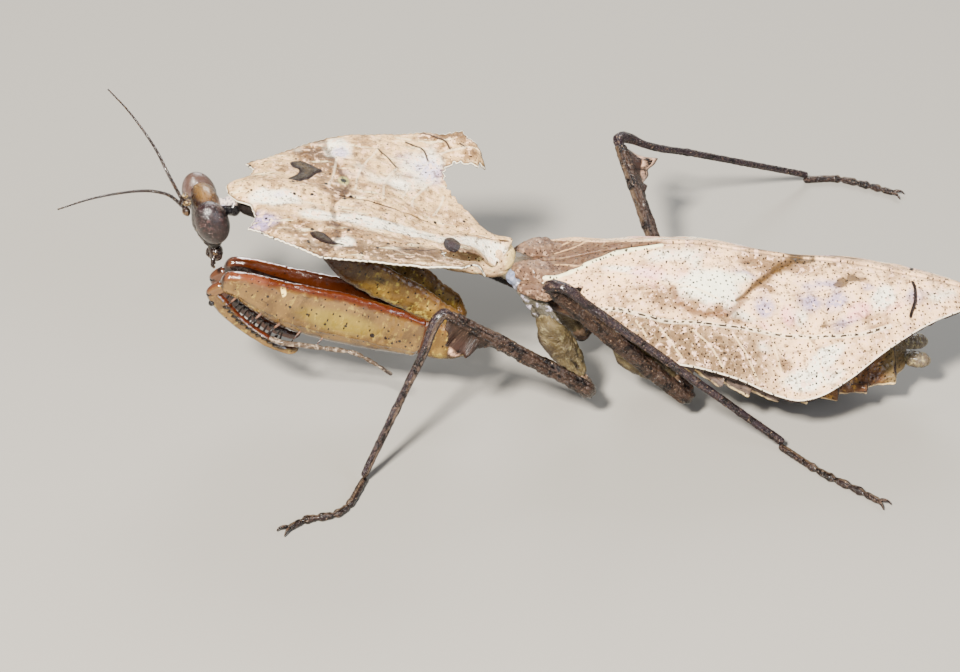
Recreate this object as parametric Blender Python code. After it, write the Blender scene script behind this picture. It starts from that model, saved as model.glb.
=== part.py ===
"""A giant dead leaf mantis, adult female, as a life-size still model.

The animal stands on four walking legs with its raptorial forelegs folded under
the leaf-shaped shield.  Sizes and places are in millimetres in the body's own
frame: x runs from the head to the tail, the left side has negative y, z is the
height over the floor, and y = 0 is the body's plane of symmetry.  The finished
model is moved so that its origin lies under the middle of its own box.
"""

import math
import random

import bmesh
import bpy
import numpy as np
from mathutils import Vector
from mathutils.geometry import delaunay_2d_cdt

METRES = 0.001
GAP = 0.3
LEFT = -1.0
RIGHT = 1.0
SIDES = {"left": LEFT, "right": RIGHT}
UP = np.array([0.0, 0.0, 1.0])

# Prothorax: a narrow barrel that climbs towards the head, under a broad leaf shield
SHIELD_THICKNESS = 0.6
SHIELD_MESH = 1.55
SHIELD_RIDGE = [(-24.5, 22.5), (-21.0, 23.3), (-19.0, 23.2), (-14.5, 22.3), (-12.0, 21.9),
                (-9.4, 21.1), (-7.0, 20.0), (-3.2, 18.3), (-0.5, 17.5), (3.4, 16.9)]
SHIELD_DIHEDRAL = [(-24.5, -0.20), (-21.0, -0.18), (-16.4, -0.07), (-13.7, -0.02), (-9.9, 0.06),
                   (-5.2, 0.235), (-1.6, 0.385), (0.5, 0.43), (1.4, 0.16), (2.4, 0.02), (3.4, 0.0)]
SHIELD_OUTLINE = [(-23.4, 0.0), (-23.2, 1.0), (-22.5, 1.9), (-21.4, 2.6), (-21.0, 4.1), (-21.8, 5.6),
                  (-20.2, 6.1), (-18.4, 7.3), (-16.4, 8.7), (-14.4, 10.0), (-12.4, 10.5), (-9.9, 10.7),
                  (-7.2, 11.0), (-5.1, 11.3), (-3.4, 10.9), (-1.7, 11.1), (-1.2, 10.4), (-0.1, 9.5),
                  (0.45, 8.5), (-0.5, 7.9), (-2.4, 8.0), (-3.5, 7.2), (-3.6, 6.1), (-3.3, 4.9),
                  (-2.2, 3.5), (-0.6, 2.5), (1.2, 1.8), (3.0, 1.6), (3.2, 0.0)]
SHIELD_TOOTH_FIRST = 5
SHIELD_TOOTH_LAST = 17
SHIELD_TOOTH_PITCH = 0.95
SHIELD_TOOTH_HEIGHT = 0.30
BARREL = [(-22.5, 1.55, 2.9), (-20.0, 1.9, 3.6), (-16.5, 2.3, 4.5), (-13.0, 2.5, 4.9), (-9.0, 2.2, 4.5),
          (-5.0, 1.9, 4.1), (-1.0, 1.8, 3.9), (2.7, 1.8, 3.7)]

# Head: wide between the bulging eyes, narrow at the mouth, turned a little to the left
HEAD_AT = np.array([-25.35, 0.0, 20.6])
HEAD_YAW = math.radians(16.0)
HEAD_PITCH = math.radians(9.0)
HEAD_RINGS = [(-4.4, 0.85, 0.60, 0.75), (-3.6, 1.10, 0.95, 0.95), (-2.4, 1.60, 1.45, 1.15),
              (-1.0, 2.15, 1.80, 1.30), (0.2, 2.45, 1.95, 1.40), (1.2, 2.35, 1.85, 1.35),
              (1.9, 1.90, 1.40, 1.15), (2.25, 1.20, 0.80, 0.75)]
EYE_OFFSET = 2.65
EYE_RADII = (1.55, 1.45, 2.25)
MOUTH_RINGS = [(-6.3, 0.40, 0.35, 0.35), (-5.7, 0.75, 0.60, 0.55), (-5.0, 0.95, 0.75, 0.75),
               (-4.85, 0.85, 0.65, 0.70)]
PALPS = [(0.55, 0.55, 0.95), (0.35, 0.25, 0.30)]
NECK_START = -23.5
ANTENNA_BASE = (2.12, 0.62, 0.75)
ANTENNA_RADIUS = (0.27, 0.17)
ANTENNA_LEFT = [(-28.6, -1.5, 22.9), (-29.7, -2.0, 23.6), (-31.1, -3.0, 24.3), (-32.8, -4.0, 24.7),
                (-35.4, -5.5, 25.0), (-37.8, -7.0, 25.0)]
ANTENNA_RIGHT = [(-28.7, 1.0, 23.5), (-29.9, 2.9, 25.0), (-31.5, 5.0, 26.4), (-32.9, 6.6, 27.4),
                 (-34.3, 8.0, 28.2)]

# Middle and hind body
MESOTHORAX = [(3.35, 1.7, 13.8, 1.6), (4.6, 2.5, 12.3, 1.8), (6.5, 3.0, 11.8, 2.2), (9.0, 3.1, 11.3, 2.5)]
METATHORAX = [(9.3, 3.1, 11.2, 2.4), (11.5, 3.2, 10.6, 2.6), (14.0, 3.0, 9.9, 2.7), (15.6, 2.9, 9.5, 2.6)]
ABDOMEN = [(15.9, 3.0, 9.5, 2.7), (18.0, 4.8, 8.8, 3.0), (20.5, 6.4, 7.9, 3.3), (24.0, 7.2, 6.7, 3.5),
           (27.5, 7.2, 5.7, 3.4), (30.5, 6.6, 5.1, 3.1), (33.5, 5.6, 4.7, 2.7), (36.5, 4.5, 4.6, 2.2),
           (38.8, 3.2, 4.7, 1.7), (40.3, 2.1, 4.8, 1.1)]
ABDOMEN_LOBE = 0.55

# Wing cases: a steep roof over the abdomen, the front edge hanging low like a leaf's margin
TEGMEN_THICKNESS = 0.5
TEGMEN_MESH = 2.3
TEGMEN_FOLD = [(4.6, 2.3, 14.75), (6.6, 3.1, 14.7), (8.9, 2.4, 15.1), (11.0, 1.45, 15.6), (15.5, 0.40, 16.4),
               (19.5, 0.3, 16.6), (24.2, 0.3, 15.85), (28.8, 0.3, 15.05), (34.5, 0.3, 14.4),
               (39.2, 0.3, 13.3), (44.5, 0.3, 11.9), (47.4, 0.3, 10.6)]
TEGMEN_EDGE = [(4.6, -2.9, 14.5), (6.6, -4.0, 14.3), (9.6, -5.6, 13.3), (11.0, -6.2, 12.3),
               (12.5, -6.6, 11.7), (14.2, -7.8, 11.1), (17.3, -9.0, 9.4), (20.3, -9.2, 8.7),
               (24.0, -9.5, 7.6), (27.3, -9.8, 6.1), (29.6, -9.8, 5.5), (31.5, -9.5, 5.8),
               (34.3, -8.5, 7.1), (37.0, -7.0, 8.6), (39.0, -6.0, 9.6), (41.9, -4.1, 10.3),
               (44.6, -2.5, 10.5), (47.4, -1.0, 10.5)]
TEGMEN_BULGE = 0.9
TEGMEN_END = 46.9
VEIN_HEIGHT = 0.18
VEIN_HALF_WIDTH = 0.24
VEIN_STEP = 1.7
TEGMEN_VEINS = [
    [(9.6, 0.93), (13.3, 0.76), (15.8, 0.70), (18.5, 0.66), (22.3, 0.63), (25.8, 0.59), (29.5, 0.56),
     (32.0, 0.58), (34.0, 0.63), (36.0, 0.69), (38.0, 0.73)],
    [(16.6, 0.75), (18.6, 0.88)],
    [(19.6, 0.71), (22.2, 0.90)],
    [(23.4, 0.68), (25.4, 0.90)],
    [(27.0, 0.62), (28.0, 0.90)],
    [(10.5, 0.42), (14.0, 0.36), (18.0, 0.36), (22.0, 0.44)],
]
HINDWING_DROP = 1.2
HINDWING_START = 1.5
HINDWING_REACH = 0.85

# Raptorial foreleg: the coxa reaches back, the broad femur forward again, the tibia folds under it
FORE_PLANE = {"left": -3.9, "right": 0.9}
FORE_COXA_PLANE = {"left": -2.1, "right": 2.75}
FORE_DROP = {"left": 0.0, "right": -1.5}
FORE_COXA = [((-13.0, 16.1), 0.70, 1.2), ((-10.5, 14.5), 0.72, 1.7), ((-7.0, 12.4), 0.72, 1.6),
             ((-4.2, 10.5), 0.70, 1.3), ((-2.2, 9.1), 0.60, 1.0)]
FORE_TROCHANTER = [((-4.65, 8.55), 0.72, 1.95), ((-3.4, 8.2), 0.75, 1.85), ((-1.9, 8.0), 0.70, 1.45),
                   ((-0.8, 8.0), 0.50, 0.9)]
FORE_FEMUR = [(-5.15, 8.6, 2.0), (-8.25, 9.6, 2.4), (-13.1, 11.0, 2.7),
              (-17.3, 12.25, 2.5), (-20.0, 13.5, 1.95), (-22.4, 14.7, 1.35), (-24.0, 15.0, 0.95)]
FORE_FEMUR_HALF_THICKNESS = 0.75
FORE_TIBIA = [((-25.1, 13.7), 0.65), ((-24.4, 12.5), 0.80), ((-23.0, 10.7), 0.68), ((-21.2, 9.1), 0.58),
              ((-19.3, 7.8), 0.48), ((-17.7, 7.3), 0.28)]
FORE_TARSUS = [(-18.6, 9.3), (-16.6, 8.95), (-13.6, 8.45), (-11.8, 8.1), (-10.0, 7.0), (-8.2, 5.6)]

SPINE_SEED = 11
SPINE_SIDES = 5
FEMUR_SPINES_OUT = [(0.88, 1.5), (0.74, 1.8), (0.58, 1.7), (0.44, 1.5)]
FEMUR_SPINES_IN = (0.40, 0.90, 7, 0.95)
TIBIA_SPINES = (0.18, 0.88, 7, 0.75)

# Walking legs: where each coxa starts and ends, where the femur's line starts, the knee, the ankle
# and the toe's way over the floor; the lobe, with its height, share of the femur and spread, stands
# on the side that faces the folded tibia
LEGS = {
    "mid_left": {"root": (6.3, -3.6, 10.1), "base": (9.2, -4.0, 4.7), "hip": (9.8, -6.6, 5.0),
                 "knee": (-2.6, -9.5, 14.8), "ankle": (-10.6, -14.8, 1.0), "knee_step": (0.0, 0.0, 0.0),
                 "lobe": (1.9, 0.87, 0.07),
                 "toe": [(-13.1, -20.2), (-16.0, -21.2), (-17.4, -22.4)], "thick": 0.80, "thin": 0.45},
    "mid_right": {"root": (6.3, 3.6, 10.1), "base": (9.2, 4.0, 4.7), "hip": (9.8, 6.6, 4.9),
                  "knee": (-5.5, 10.0, 10.2), "ankle": (-12.0, 22.5, 1.0), "knee_step": (0.0, 0.0, 0.0),
                  "lobe": (1.9, 0.87, 0.07),
                  "toe": [(-14.5, 26.7), (-17.0, 29.0), (-19.0, 30.5)], "thick": 0.80, "thin": 0.45},
    "hind_left": {"root": (13.4, -3.2, 7.0), "base": (17.9, -3.9, 4.1), "hip": (19.0, -5.9, 3.5),
                  "knee": (6.7, -10.2, 18.0), "ankle": (28.0, -9.6, 1.0), "knee_step": (1.35, -1.15, 0.75),
                  "lobe": (1.3, 0.87, 0.06),
                  "toe": [(32.1, -14.3), (34.8, -16.6), (36.6, -18.3)], "thick": 0.85, "thin": 0.48},
    "hind_right": {"root": (13.4, 3.2, 7.0), "base": (17.9, 3.9, 4.1), "hip": (19.6, 5.9, 3.6),
                   "knee": (13.7, 21.5, 14.0), "ankle": (33.2, 37.4, 1.0), "knee_step": (0.0, 0.0, 0.0),
                   "lobe": (2.6, 0.86, 0.08),
                   "toe": [(36.5, 37.6), (39.5, 36.4), (42.2, 34.9)], "thick": 0.85, "thin": 0.48},
}
CLAW_LENGTH = 0.95
TARSUS_RADIUS = 0.40
TARSUS_HEIGHT = 0.36
FOOT_START = 0.58

COLOURS = {
    "shield cuticle": ((0.78, 0.68, 0.54), 0.55),
    "head cuticle": ((0.50, 0.36, 0.27), 0.45),
    "eye": ((0.24, 0.17, 0.18), 0.20),
    "horn brown": ((0.10, 0.06, 0.045), 0.45),
    "membrane": ((0.80, 0.76, 0.70), 0.50),
    "wing case": ((0.80, 0.71, 0.62), 0.55),
    "hind wing": ((0.30, 0.20, 0.17), 0.40),
    "belly cuticle": ((0.62, 0.42, 0.26), 0.50),
    "foreleg cuticle": ((0.66, 0.47, 0.24), 0.45),
    "bark brown cuticle": ((0.20, 0.14, 0.125), 0.60),
}


def unit(vector):
    vector = np.asarray(vector, float)
    return vector / np.linalg.norm(vector)


def smooth_through(points):
    """Return a function that runs smoothly through (x, value...) points, in order of x."""
    table = np.array(points, float)
    xs = table[:, 0]
    values = table[:, 1:]
    slopes = np.gradient(values, xs, axis=0)

    def at(x):
        x = min(max(x, xs[0]), xs[-1])
        i = min(max(int(np.searchsorted(xs, x)) - 1, 0), len(xs) - 2)
        step = xs[i + 1] - xs[i]
        t = (x - xs[i]) / step
        here = (2 * t**3 - 3 * t**2 + 1) * values[i] + (t**3 - 2 * t**2 + t) * step * slopes[i]
        there = (-2 * t**3 + 3 * t**2) * values[i + 1] + (t**3 - t**2) * step * slopes[i + 1]
        out = here + there
        return out if len(out) > 1 else float(out[0])

    return at


def smooth_path(points, steps):
    """Resample a path of 3D points at even steps along a smooth curve through them."""
    points = np.array(points, float)
    lengths = np.concatenate([[0.0], np.cumsum(np.linalg.norm(np.diff(points, axis=0), axis=1))])
    curve = smooth_through(np.column_stack([lengths, points]))
    return [np.array(curve(s)) for s in np.linspace(0.0, lengths[-1], steps + 1)]


def material(name):
    found = bpy.data.materials.get(name)
    if found:
        return found
    colour, roughness = COLOURS[name]
    made = bpy.data.materials.new(name)
    made.use_nodes = True
    shader = made.node_tree.nodes["Principled BSDF"]
    shader.inputs["Base Color"].default_value = (*colour, 1.0)
    shader.inputs["Roughness"].default_value = roughness
    shader.inputs["Metallic"].default_value = 0.0
    return made


def make_object(name, points, faces, finish):
    """Make one object from points in millimetres, with its faces turned outwards."""
    mesh = bpy.data.meshes.new(name)
    mesh.from_pydata([Vector(point) * METRES for point in points], [], faces)
    work = bmesh.new()
    work.from_mesh(mesh)
    bmesh.ops.recalc_face_normals(work, faces=work.faces)
    bmesh.ops.triangulate(work, faces=work.faces)
    work.to_mesh(mesh)
    work.free()
    mesh.shade_smooth()
    mesh.set_sharp_from_angle(angle=math.radians(50.0))
    made = bpy.data.objects.new(name, mesh)
    bpy.context.scene.collection.objects.link(made)
    made.data.materials.append(material(finish))
    return made


def loft(rings, blunt_start=0.0, blunt_end=0.0):
    """Join closed rings of points into a skin with a fan at each end; returns points and faces."""
    count = len(rings[0])
    points = [point for ring in rings for point in ring]
    faces = []
    for level in range(len(rings) - 1):
        for i in range(count):
            j = (i + 1) % count
            a = level * count + i
            b = level * count + j
            faces.append((a, b, b + count))
            faces.append((a, b + count, a + count))
    first = np.mean(rings[0], axis=0)
    last = np.mean(rings[-1], axis=0)
    first_way = unit(first - np.mean(rings[1], axis=0))
    last_way = unit(last - np.mean(rings[-2], axis=0))
    start_pole = len(points)
    points.append(first + first_way * blunt_start)
    end_pole = len(points)
    points.append(last + last_way * blunt_end)
    top = (len(rings) - 1) * count
    for i in range(count):
        j = (i + 1) % count
        faces.append((j, i, start_pole))
        faces.append((top + i, top + j, end_pole))
    return points, faces


def limb_rings(path, sizes, up, sides):
    """Elliptical rings along a path; sizes are half width, reach up, reach down and a keel below."""
    rings = []
    for index, centre in enumerate(path):
        before = path[max(index - 1, 0)]
        after = path[min(index + 1, len(path) - 1)]
        along = unit(np.array(after) - np.array(before))
        high = unit(up - along * np.dot(up, along))
        across = np.cross(along, high)
        half, rise, drop = sizes[index][:3]
        keel = sizes[index][3] if len(sizes[index]) > 3 else 0.0
        ring = []
        for i in range(sides):
            angle = 2 * math.pi * i / sides + math.pi / 2
            lift = rise if math.sin(angle) >= 0 else drop
            if i == sides // 2:
                lift += keel
            ring.append(centre + across * half * math.cos(angle) + high * lift * math.sin(angle))
        rings.append(ring)
    return rings


def surface_plate(outline, inner, lift, thickness, spacing, ridge=None):
    """A thin plate: the outline is meshed flat, lifted to its curved place and given two like faces."""
    outline = [tuple(point) for point in outline]
    coords = [Vector(point) for point in outline]
    edges = [(i, (i + 1) % len(outline)) for i in range(len(outline))]
    for line in inner:
        start = len(coords)
        coords.extend(Vector(point) for point in line)
        edges.extend((start + i, start + i + 1) for i in range(len(line) - 1))
    fixed = np.array([tuple(point) for point in coords])
    xs = [point[0] for point in outline]
    ys = [point[1] for point in outline]
    row = 0
    y = min(ys) + spacing * 0.5
    while y < max(ys):
        x = min(xs) + spacing * (0.5 if row % 2 else 1.0)
        while x < max(xs):
            clear = np.min(np.hypot(fixed[:, 0] - x, fixed[:, 1] - y)) > spacing * 0.55
            if clear and inside(x, y, outline):
                coords.append(Vector((x, y)))
            x += spacing
        y += spacing * 0.87
        row += 1
    verts, _, faces, _, _, _ = delaunay_2d_cdt(coords, edges, [], 1, 1e-5)
    flat = [(point.x, point.y) for point in verts]
    step = 0.05
    tops = []
    bottoms = []
    for x, y in flat:
        middle = np.array(lift(x, y))
        slope_x = np.array(lift(x + step, y)) - np.array(lift(x - step, y))
        slope_y = np.array(lift(x, y + step)) - np.array(lift(x, y - step))
        normal = unit(np.cross(slope_x, slope_y))
        if normal[2] < 0.0:
            normal = -normal
        raised = ridge(x, y) if ridge else 0.0
        tops.append(middle + normal * (thickness / 2 + raised))
        bottoms.append(middle - normal * thickness / 2)
    count = len(flat)
    skin = [tuple(face) for face in faces]
    skin += [tuple(index + count for index in reversed(face)) for face in faces]
    ways = {}
    for face in faces:
        for i in range(len(face)):
            ways[(face[i], face[(i + 1) % len(face)])] = True
    for a, b in ways:
        if (b, a) not in ways:
            skin.append((b, a, a + count))
            skin.append((b, a + count, b + count))
    return tops + bottoms, skin


def inside(x, y, outline):
    """True where the point lies in the closed outline."""
    odd = False
    for i in range(len(outline)):
        x1, y1 = outline[i]
        x2, y2 = outline[(i + 1) % len(outline)]
        if (y1 > y) != (y2 > y) and x < (x2 - x1) * (y - y1) / (y2 - y1) + x1:
            odd = not odd
    return odd


def mirrored(points, side):
    """Points made on the left side, put on the wanted side."""
    if side == LEFT:
        return points
    return [np.array([point[0], -point[1], point[2]]) for point in points]


# Shield and prothorax

ridge_height = smooth_through(SHIELD_RIDGE)
dihedral = smooth_through(SHIELD_DIHEDRAL)


def shield_surface(x, y):
    """The shield's middle surface: a rounded ridge, a valley on each side and the raised lobes."""
    reach = abs(y)
    arch = 0.75 * (1.0 - math.exp(-(reach / 2.0) ** 2))
    back = 0.75 * min(reach / 9.0, 1.0)
    return (x, y, ridge_height(x) + dihedral(x) * reach - arch + back)


def shield_outline():
    """The notched outline of both lobes, with small teeth along the free margin."""
    half = []
    for index in range(len(SHIELD_OUTLINE) - 1):
        start = np.array(SHIELD_OUTLINE[index])
        end = np.array(SHIELD_OUTLINE[index + 1])
        half.append(tuple(start))
        if not SHIELD_TOOTH_FIRST <= index < SHIELD_TOOTH_LAST:
            continue
        run = np.linalg.norm(end - start)
        teeth = max(1, round(run / SHIELD_TOOTH_PITCH))
        outward = np.array([-(end - start)[1], (end - start)[0]]) / run
        for tooth in range(teeth):
            tip = start + (end - start) * (tooth + 0.35) / teeth + outward * SHIELD_TOOTH_HEIGHT
            foot = start + (end - start) * (tooth + 0.75) / teeth
            half.append(tuple(tip))
            if tooth < teeth - 1:
                half.append(tuple(foot))
    half.append(SHIELD_OUTLINE[-1])
    other = [(x, -y) for x, y in reversed(half[1:-1])]
    return half + other


def make_shield():
    crease = [(x, 0.0) for x in np.linspace(-22.0, 2.0, 13)]
    points, faces = surface_plate(shield_outline(), [crease], shield_surface, SHIELD_THICKNESS, SHIELD_MESH)
    make_object("pronotum_shield", points, faces, "shield cuticle")


def make_barrel():
    """The prothorax body under the shield, cut off to follow the shield's lower face."""
    table = smooth_through([(x, half, depth) for x, half, depth in BARREL])
    rings = []
    for x in np.linspace(BARREL[0][0], BARREL[-1][0], 12):
        half, depth = table(x)
        ring = []
        for i in range(14):
            angle = 2 * math.pi * i / 14
            y = half * math.cos(angle)
            roof = shield_surface(x, y)[2] - SHIELD_THICKNESS * 0.5 - GAP * 1.6
            bottom = ridge_height(x) - depth
            share = 0.5 + 0.5 * math.sin(angle)
            z = bottom + (roof - bottom) * (share if share < 0.5 else share ** 0.8)
            ring.append(np.array([x, y, z]))
        rings.append(ring)
    make_object("prothorax", *loft(rings), "shield cuticle")


# Head

def head_frame():
    """The head's forward, side and up directions."""
    forward = np.array([-math.cos(HEAD_YAW), -math.sin(HEAD_YAW), 0.0])
    side = np.array([-math.sin(HEAD_YAW), math.cos(HEAD_YAW), 0.0])
    up = UP * math.cos(HEAD_PITCH) + forward * math.sin(HEAD_PITCH)
    ahead = forward * math.cos(HEAD_PITCH) - UP * math.sin(HEAD_PITCH)
    return ahead, side, up


def head_point(ahead, side, up):
    axes = head_frame()
    return HEAD_AT + axes[0] * ahead + axes[1] * side + axes[2] * up


def head_rings(table, sides):
    """Level rings of the head: height, half width, reach forward and reach back."""
    rings = []
    for height, half, front, back in table:
        ring = []
        for i in range(sides):
            angle = 2 * math.pi * i / sides
            reach = front if math.cos(angle) > 0 else back
            ring.append(head_point(reach * math.cos(angle), half * math.sin(angle), height))
        rings.append(ring)
    return rings


def ellipsoid(centre, axes, radii, segments, levels):
    """A closed ellipsoid on three directions, with a pole at each end of the third."""
    rings = []
    for level in range(1, levels):
        latitude = math.pi * (level / levels - 0.5)
        ring = []
        for i in range(segments):
            angle = 2 * math.pi * i / segments
            ring.append(centre + axes[0] * radii[0] * math.cos(latitude) * math.cos(angle)
                        + axes[1] * radii[1] * math.cos(latitude) * math.sin(angle)
                        + axes[2] * radii[2] * math.sin(latitude))
        rings.append(ring)
    pole = radii[2] * (1.0 - math.sin(math.pi * (0.5 - 1.0 / levels)))
    return loft(rings, pole, pole)


def apply_modifiers(target):
    """Bake an object's modifiers into its mesh."""
    graph = bpy.context.evaluated_depsgraph_get()
    graph.update()
    baked = bpy.data.meshes.new_from_object(target.evaluated_get(graph))
    target.modifiers.clear()
    old = target.data
    target.data = baked
    bpy.data.meshes.remove(old)


def keep_largest(target):
    """Keep only the largest closed surface of a mesh."""
    work = bmesh.new()
    work.from_mesh(target.data)
    bmesh.ops.triangulate(work, faces=work.faces)
    seen = set()
    groups = []
    for start in work.faces:
        if start in seen:
            continue
        group = [start]
        seen.add(start)
        for face in group:
            for edge in face.edges:
                for other in edge.link_faces:
                    if other not in seen:
                        seen.add(other)
                        group.append(other)
        groups.append(group)
    groups.sort(key=lambda group: sum(face.calc_area() for face in group))
    for group in groups[:-1]:
        bmesh.ops.delete(work, geom=group, context="FACES")
    loose = [vertex for vertex in work.verts if not vertex.link_faces]
    bmesh.ops.delete(work, geom=loose, context="VERTS")
    work.to_mesh(target.data)
    work.free()


def fuse(target, extras, solver="EXACT"):
    """Join closed objects to the target by one union, then remove them."""
    if not extras:
        return
    bag = bpy.data.collections.new(target.name + "_pieces")
    for extra in extras:
        bag.objects.link(extra)
    union = target.modifiers.new("join", "BOOLEAN")
    union.operation = "UNION"
    union.operand_type = "COLLECTION"
    union.collection = bag
    union.solver = solver
    apply_modifiers(target)
    for extra in extras:
        bpy.data.objects.remove(extra)
    bpy.data.collections.remove(bag)
    keep_largest(target)


def carve(target, cutter):
    """Cut one closed object out of the target, then remove it."""
    cut = target.modifiers.new("cut", "BOOLEAN")
    cut.operation = "DIFFERENCE"
    cut.solver = "EXACT"
    cut.object = cutter
    apply_modifiers(target)
    bpy.data.objects.remove(cutter)
    keep_largest(target)


def make_head():
    head = make_object("head", *loft(head_rings(HEAD_RINGS, 20), 0.15, 0.12), "head cuticle")
    axes = head_frame()
    for name, side in SIDES.items():
        centre = head_point(0.0, side * EYE_OFFSET, 0.0)
        socket_radii = [radius + GAP for radius in EYE_RADII]
        socket = make_object("socket", *ellipsoid(centre, axes, socket_radii, 18, 12), "eye")
        carve(head, socket)
        make_object("eye_" + name, *ellipsoid(centre, axes, EYE_RADII, 18, 12), "eye")
    mouth = make_object("mouthparts", *loft(head_rings(MOUTH_RINGS, 12), 0.1, 0.0), "horn brown")
    palps = []
    for side in SIDES.values():
        for ahead, start, end in PALPS:
            path = [head_point(0.1, side * start, -5.3), head_point(ahead, side * end, -5.9),
                    head_point(ahead + 0.15, side * (end + 0.05), -6.5), head_point(ahead, side * end, -7.0)]
            sizes = [(radius, radius, radius) for radius in (0.20, 0.25, 0.24, 0.15)]
            palps.append(make_object("palp", *loft(limb_rings(path, sizes, UP, 6)), "horn brown"))
    fuse(mouth, palps, "MANIFOLD")


def make_neck():
    """The soft neck between the back of the head and the front of the prothorax."""
    back = BARREL[0][0] - GAP
    height = ridge_height(back) - 2.1
    path = [np.array([x, 0.0, height]) for x in (NECK_START, (NECK_START + back) / 2, back)]
    sizes = [(radius, radius, radius) for radius in (0.95, 1.1, 1.05)]
    make_object("neck", *loft(limb_rings(path, sizes, UP, 12)), "membrane")


def make_antenna(name, side, points):
    ahead, out, high = ANTENNA_BASE
    base = head_point(ahead + GAP, side * out, high)
    path = smooth_path([base] + [np.array(point) for point in points], 14)
    first, last = ANTENNA_RADIUS
    sizes = []
    for index in range(len(path)):
        radius = first + (last - first) * index / (len(path) - 1)
        sizes.append((radius, radius, radius))
    make_object("antenna_" + name, *loft(limb_rings(path, sizes, UP, 6)), "horn brown")


# Middle and hind body

def body_rings(table, steps, sides, flatness=1.0, lobe=0.0, lobe_pitch=1.0):
    """Rings across the body: x, half width, middle height and half depth, with margin lobes."""
    at = smooth_through(table)
    rings = []
    for x in np.linspace(table[0][0], table[-1][0], steps):
        half, middle, depth = at(x)
        swell = lobe * ((x / lobe_pitch) % 1.0) if lobe else 0.0
        ring = []
        for i in range(sides):
            angle = 2 * math.pi * i / sides
            level = math.sin(angle)
            width = (half + swell * abs(math.cos(angle)) ** 6) * math.cos(angle)
            ring.append(np.array([x, width, middle + depth * np.sign(level) * abs(level) ** flatness]))
        rings.append(ring)
    return rings


def make_trunk():
    make_object("mesothorax", *loft(body_rings(MESOTHORAX, 6, 14)), "shield cuticle")
    make_object("metathorax", *loft(body_rings(METATHORAX, 6, 14)), "belly cuticle")
    rings = body_rings(ABDOMEN, 25, 16, 1.25, ABDOMEN_LOBE, 3.1)
    make_object("abdomen", *loft(rings), "belly cuticle")
    for name, side in SIDES.items():
        path = smooth_path([(40.7, side * 1.3, 4.9), (41.5, side * 1.5, 4.9), (42.5, side * 1.5, 4.8)], 4)
        sizes = [(0.3, 0.3, 0.3), (0.5, 0.4, 0.4), (0.6, 0.4, 0.4), (0.5, 0.35, 0.35), (0.25, 0.25, 0.25)]
        make_object("cercus_" + name, *loft(limb_rings(path, sizes, UP, 8)), "belly cuticle")


# Wings

fold_place = smooth_through(TEGMEN_FOLD)
edge_place = smooth_through(TEGMEN_EDGE)
CREST_Y = -GAP / 2


def wing_width(x):
    """The distance over the left wing case from the midline across the fold to the hanging edge."""
    flat, height = fold_place(x)
    low_y, low_z = edge_place(x)
    return flat + math.hypot(low_y - CREST_Y + flat, low_z - height)


def wing_surface(x, across, drop=0.0):
    """A point of the left wing case's middle surface: flat on the back, then sloping like a roof."""
    flat, height = fold_place(x)
    low = np.array([x, *edge_place(x)])
    fold = np.array([x, CREST_Y - flat, height])
    if across <= flat:
        return np.array([x, CREST_Y - across, height - drop])
    slope = low - fold
    run = max(np.linalg.norm(slope), 0.05)
    share = (across - flat) / run
    outward = np.array([0.0, slope[2], -slope[1]]) / run
    bulge = TEGMEN_BULGE * math.sin(math.pi * min(share, 1.0)) * min(run / 11.0, 1.0)
    return fold + slope * share + outward * (bulge - drop)


def vein_lines():
    """Each vein as a line of places over the wing case, with the widths of the case taken in."""
    lines = []
    for vein in TEGMEN_VEINS:
        share_at = smooth_through(vein) if len(vein) > 2 else straight_between(*vein)
        count = max(2, math.ceil((vein[-1][0] - vein[0][0]) / VEIN_STEP) + 1)
        xs = np.linspace(vein[0][0], vein[-1][0], count)
        lines.append([(x, wing_width(x) * share_at(x)) for x in xs])
    return lines


def straight_between(start, end):
    """A function that runs straight from one place to another."""
    def at(x):
        return start[1] + (end[1] - start[1]) * (x - start[0]) / (end[0] - start[0])
    return at


def beside(line, distance):
    """The same line moved sideways by a distance, and drawn in a little at both ends."""
    points = np.array(line)
    ways = np.gradient(points, axis=0)
    ways /= np.linalg.norm(ways, axis=1)[:, None]
    across = np.column_stack([-ways[:, 1], ways[:, 0]])
    return [tuple(point) for point in points + across * distance]


def make_tegmen(name, side):
    """A leathery wing case, creased where its flat back turns into the roof, with raised veins."""
    xs = np.linspace(TEGMEN_FOLD[0][0], TEGMEN_END, 24)
    outline = [(x, 0.0) for x in xs]
    outline += [(x, wing_width(x)) for x in reversed(xs)]
    inner = [[(x, fold_place(x)[0]) for x in xs[1:8]]]
    raised = set()
    for vein in vein_lines():
        raised.update((round(x, 3), round(y, 3)) for x, y in vein)
        inner.append(vein)
        inner.append(beside(vein, VEIN_HALF_WIDTH))
        inner.append(beside(vein, -VEIN_HALF_WIDTH))

    def ridge(x, across):
        return VEIN_HEIGHT if (round(x, 3), round(across, 3)) in raised else 0.0

    points, faces = surface_plate(outline, inner, wing_surface, TEGMEN_THICKNESS, TEGMEN_MESH, ridge)
    make_object("tegmen_" + name, mirrored(points, side), faces, "wing case")


def make_hindwing(name, side):
    """The folded hind wing, a plain vane that lies under its wing case."""
    xs = np.linspace(10.5, 43.0, 12)
    outline = [(x, fold_place(x)[0] + HINDWING_START) for x in xs]
    outline += [(x, max(wing_width(x) * HINDWING_REACH, fold_place(x)[0] + HINDWING_START + 0.6))
                for x in reversed(xs)]

    def lift(x, across):
        return wing_surface(x, across, HINDWING_DROP)

    points, faces = surface_plate(outline, [], lift, TEGMEN_THICKNESS, 3.0)
    make_object("hindwing_" + name, mirrored(points, side), faces, "hind wing")


# Raptorial forelegs

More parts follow.
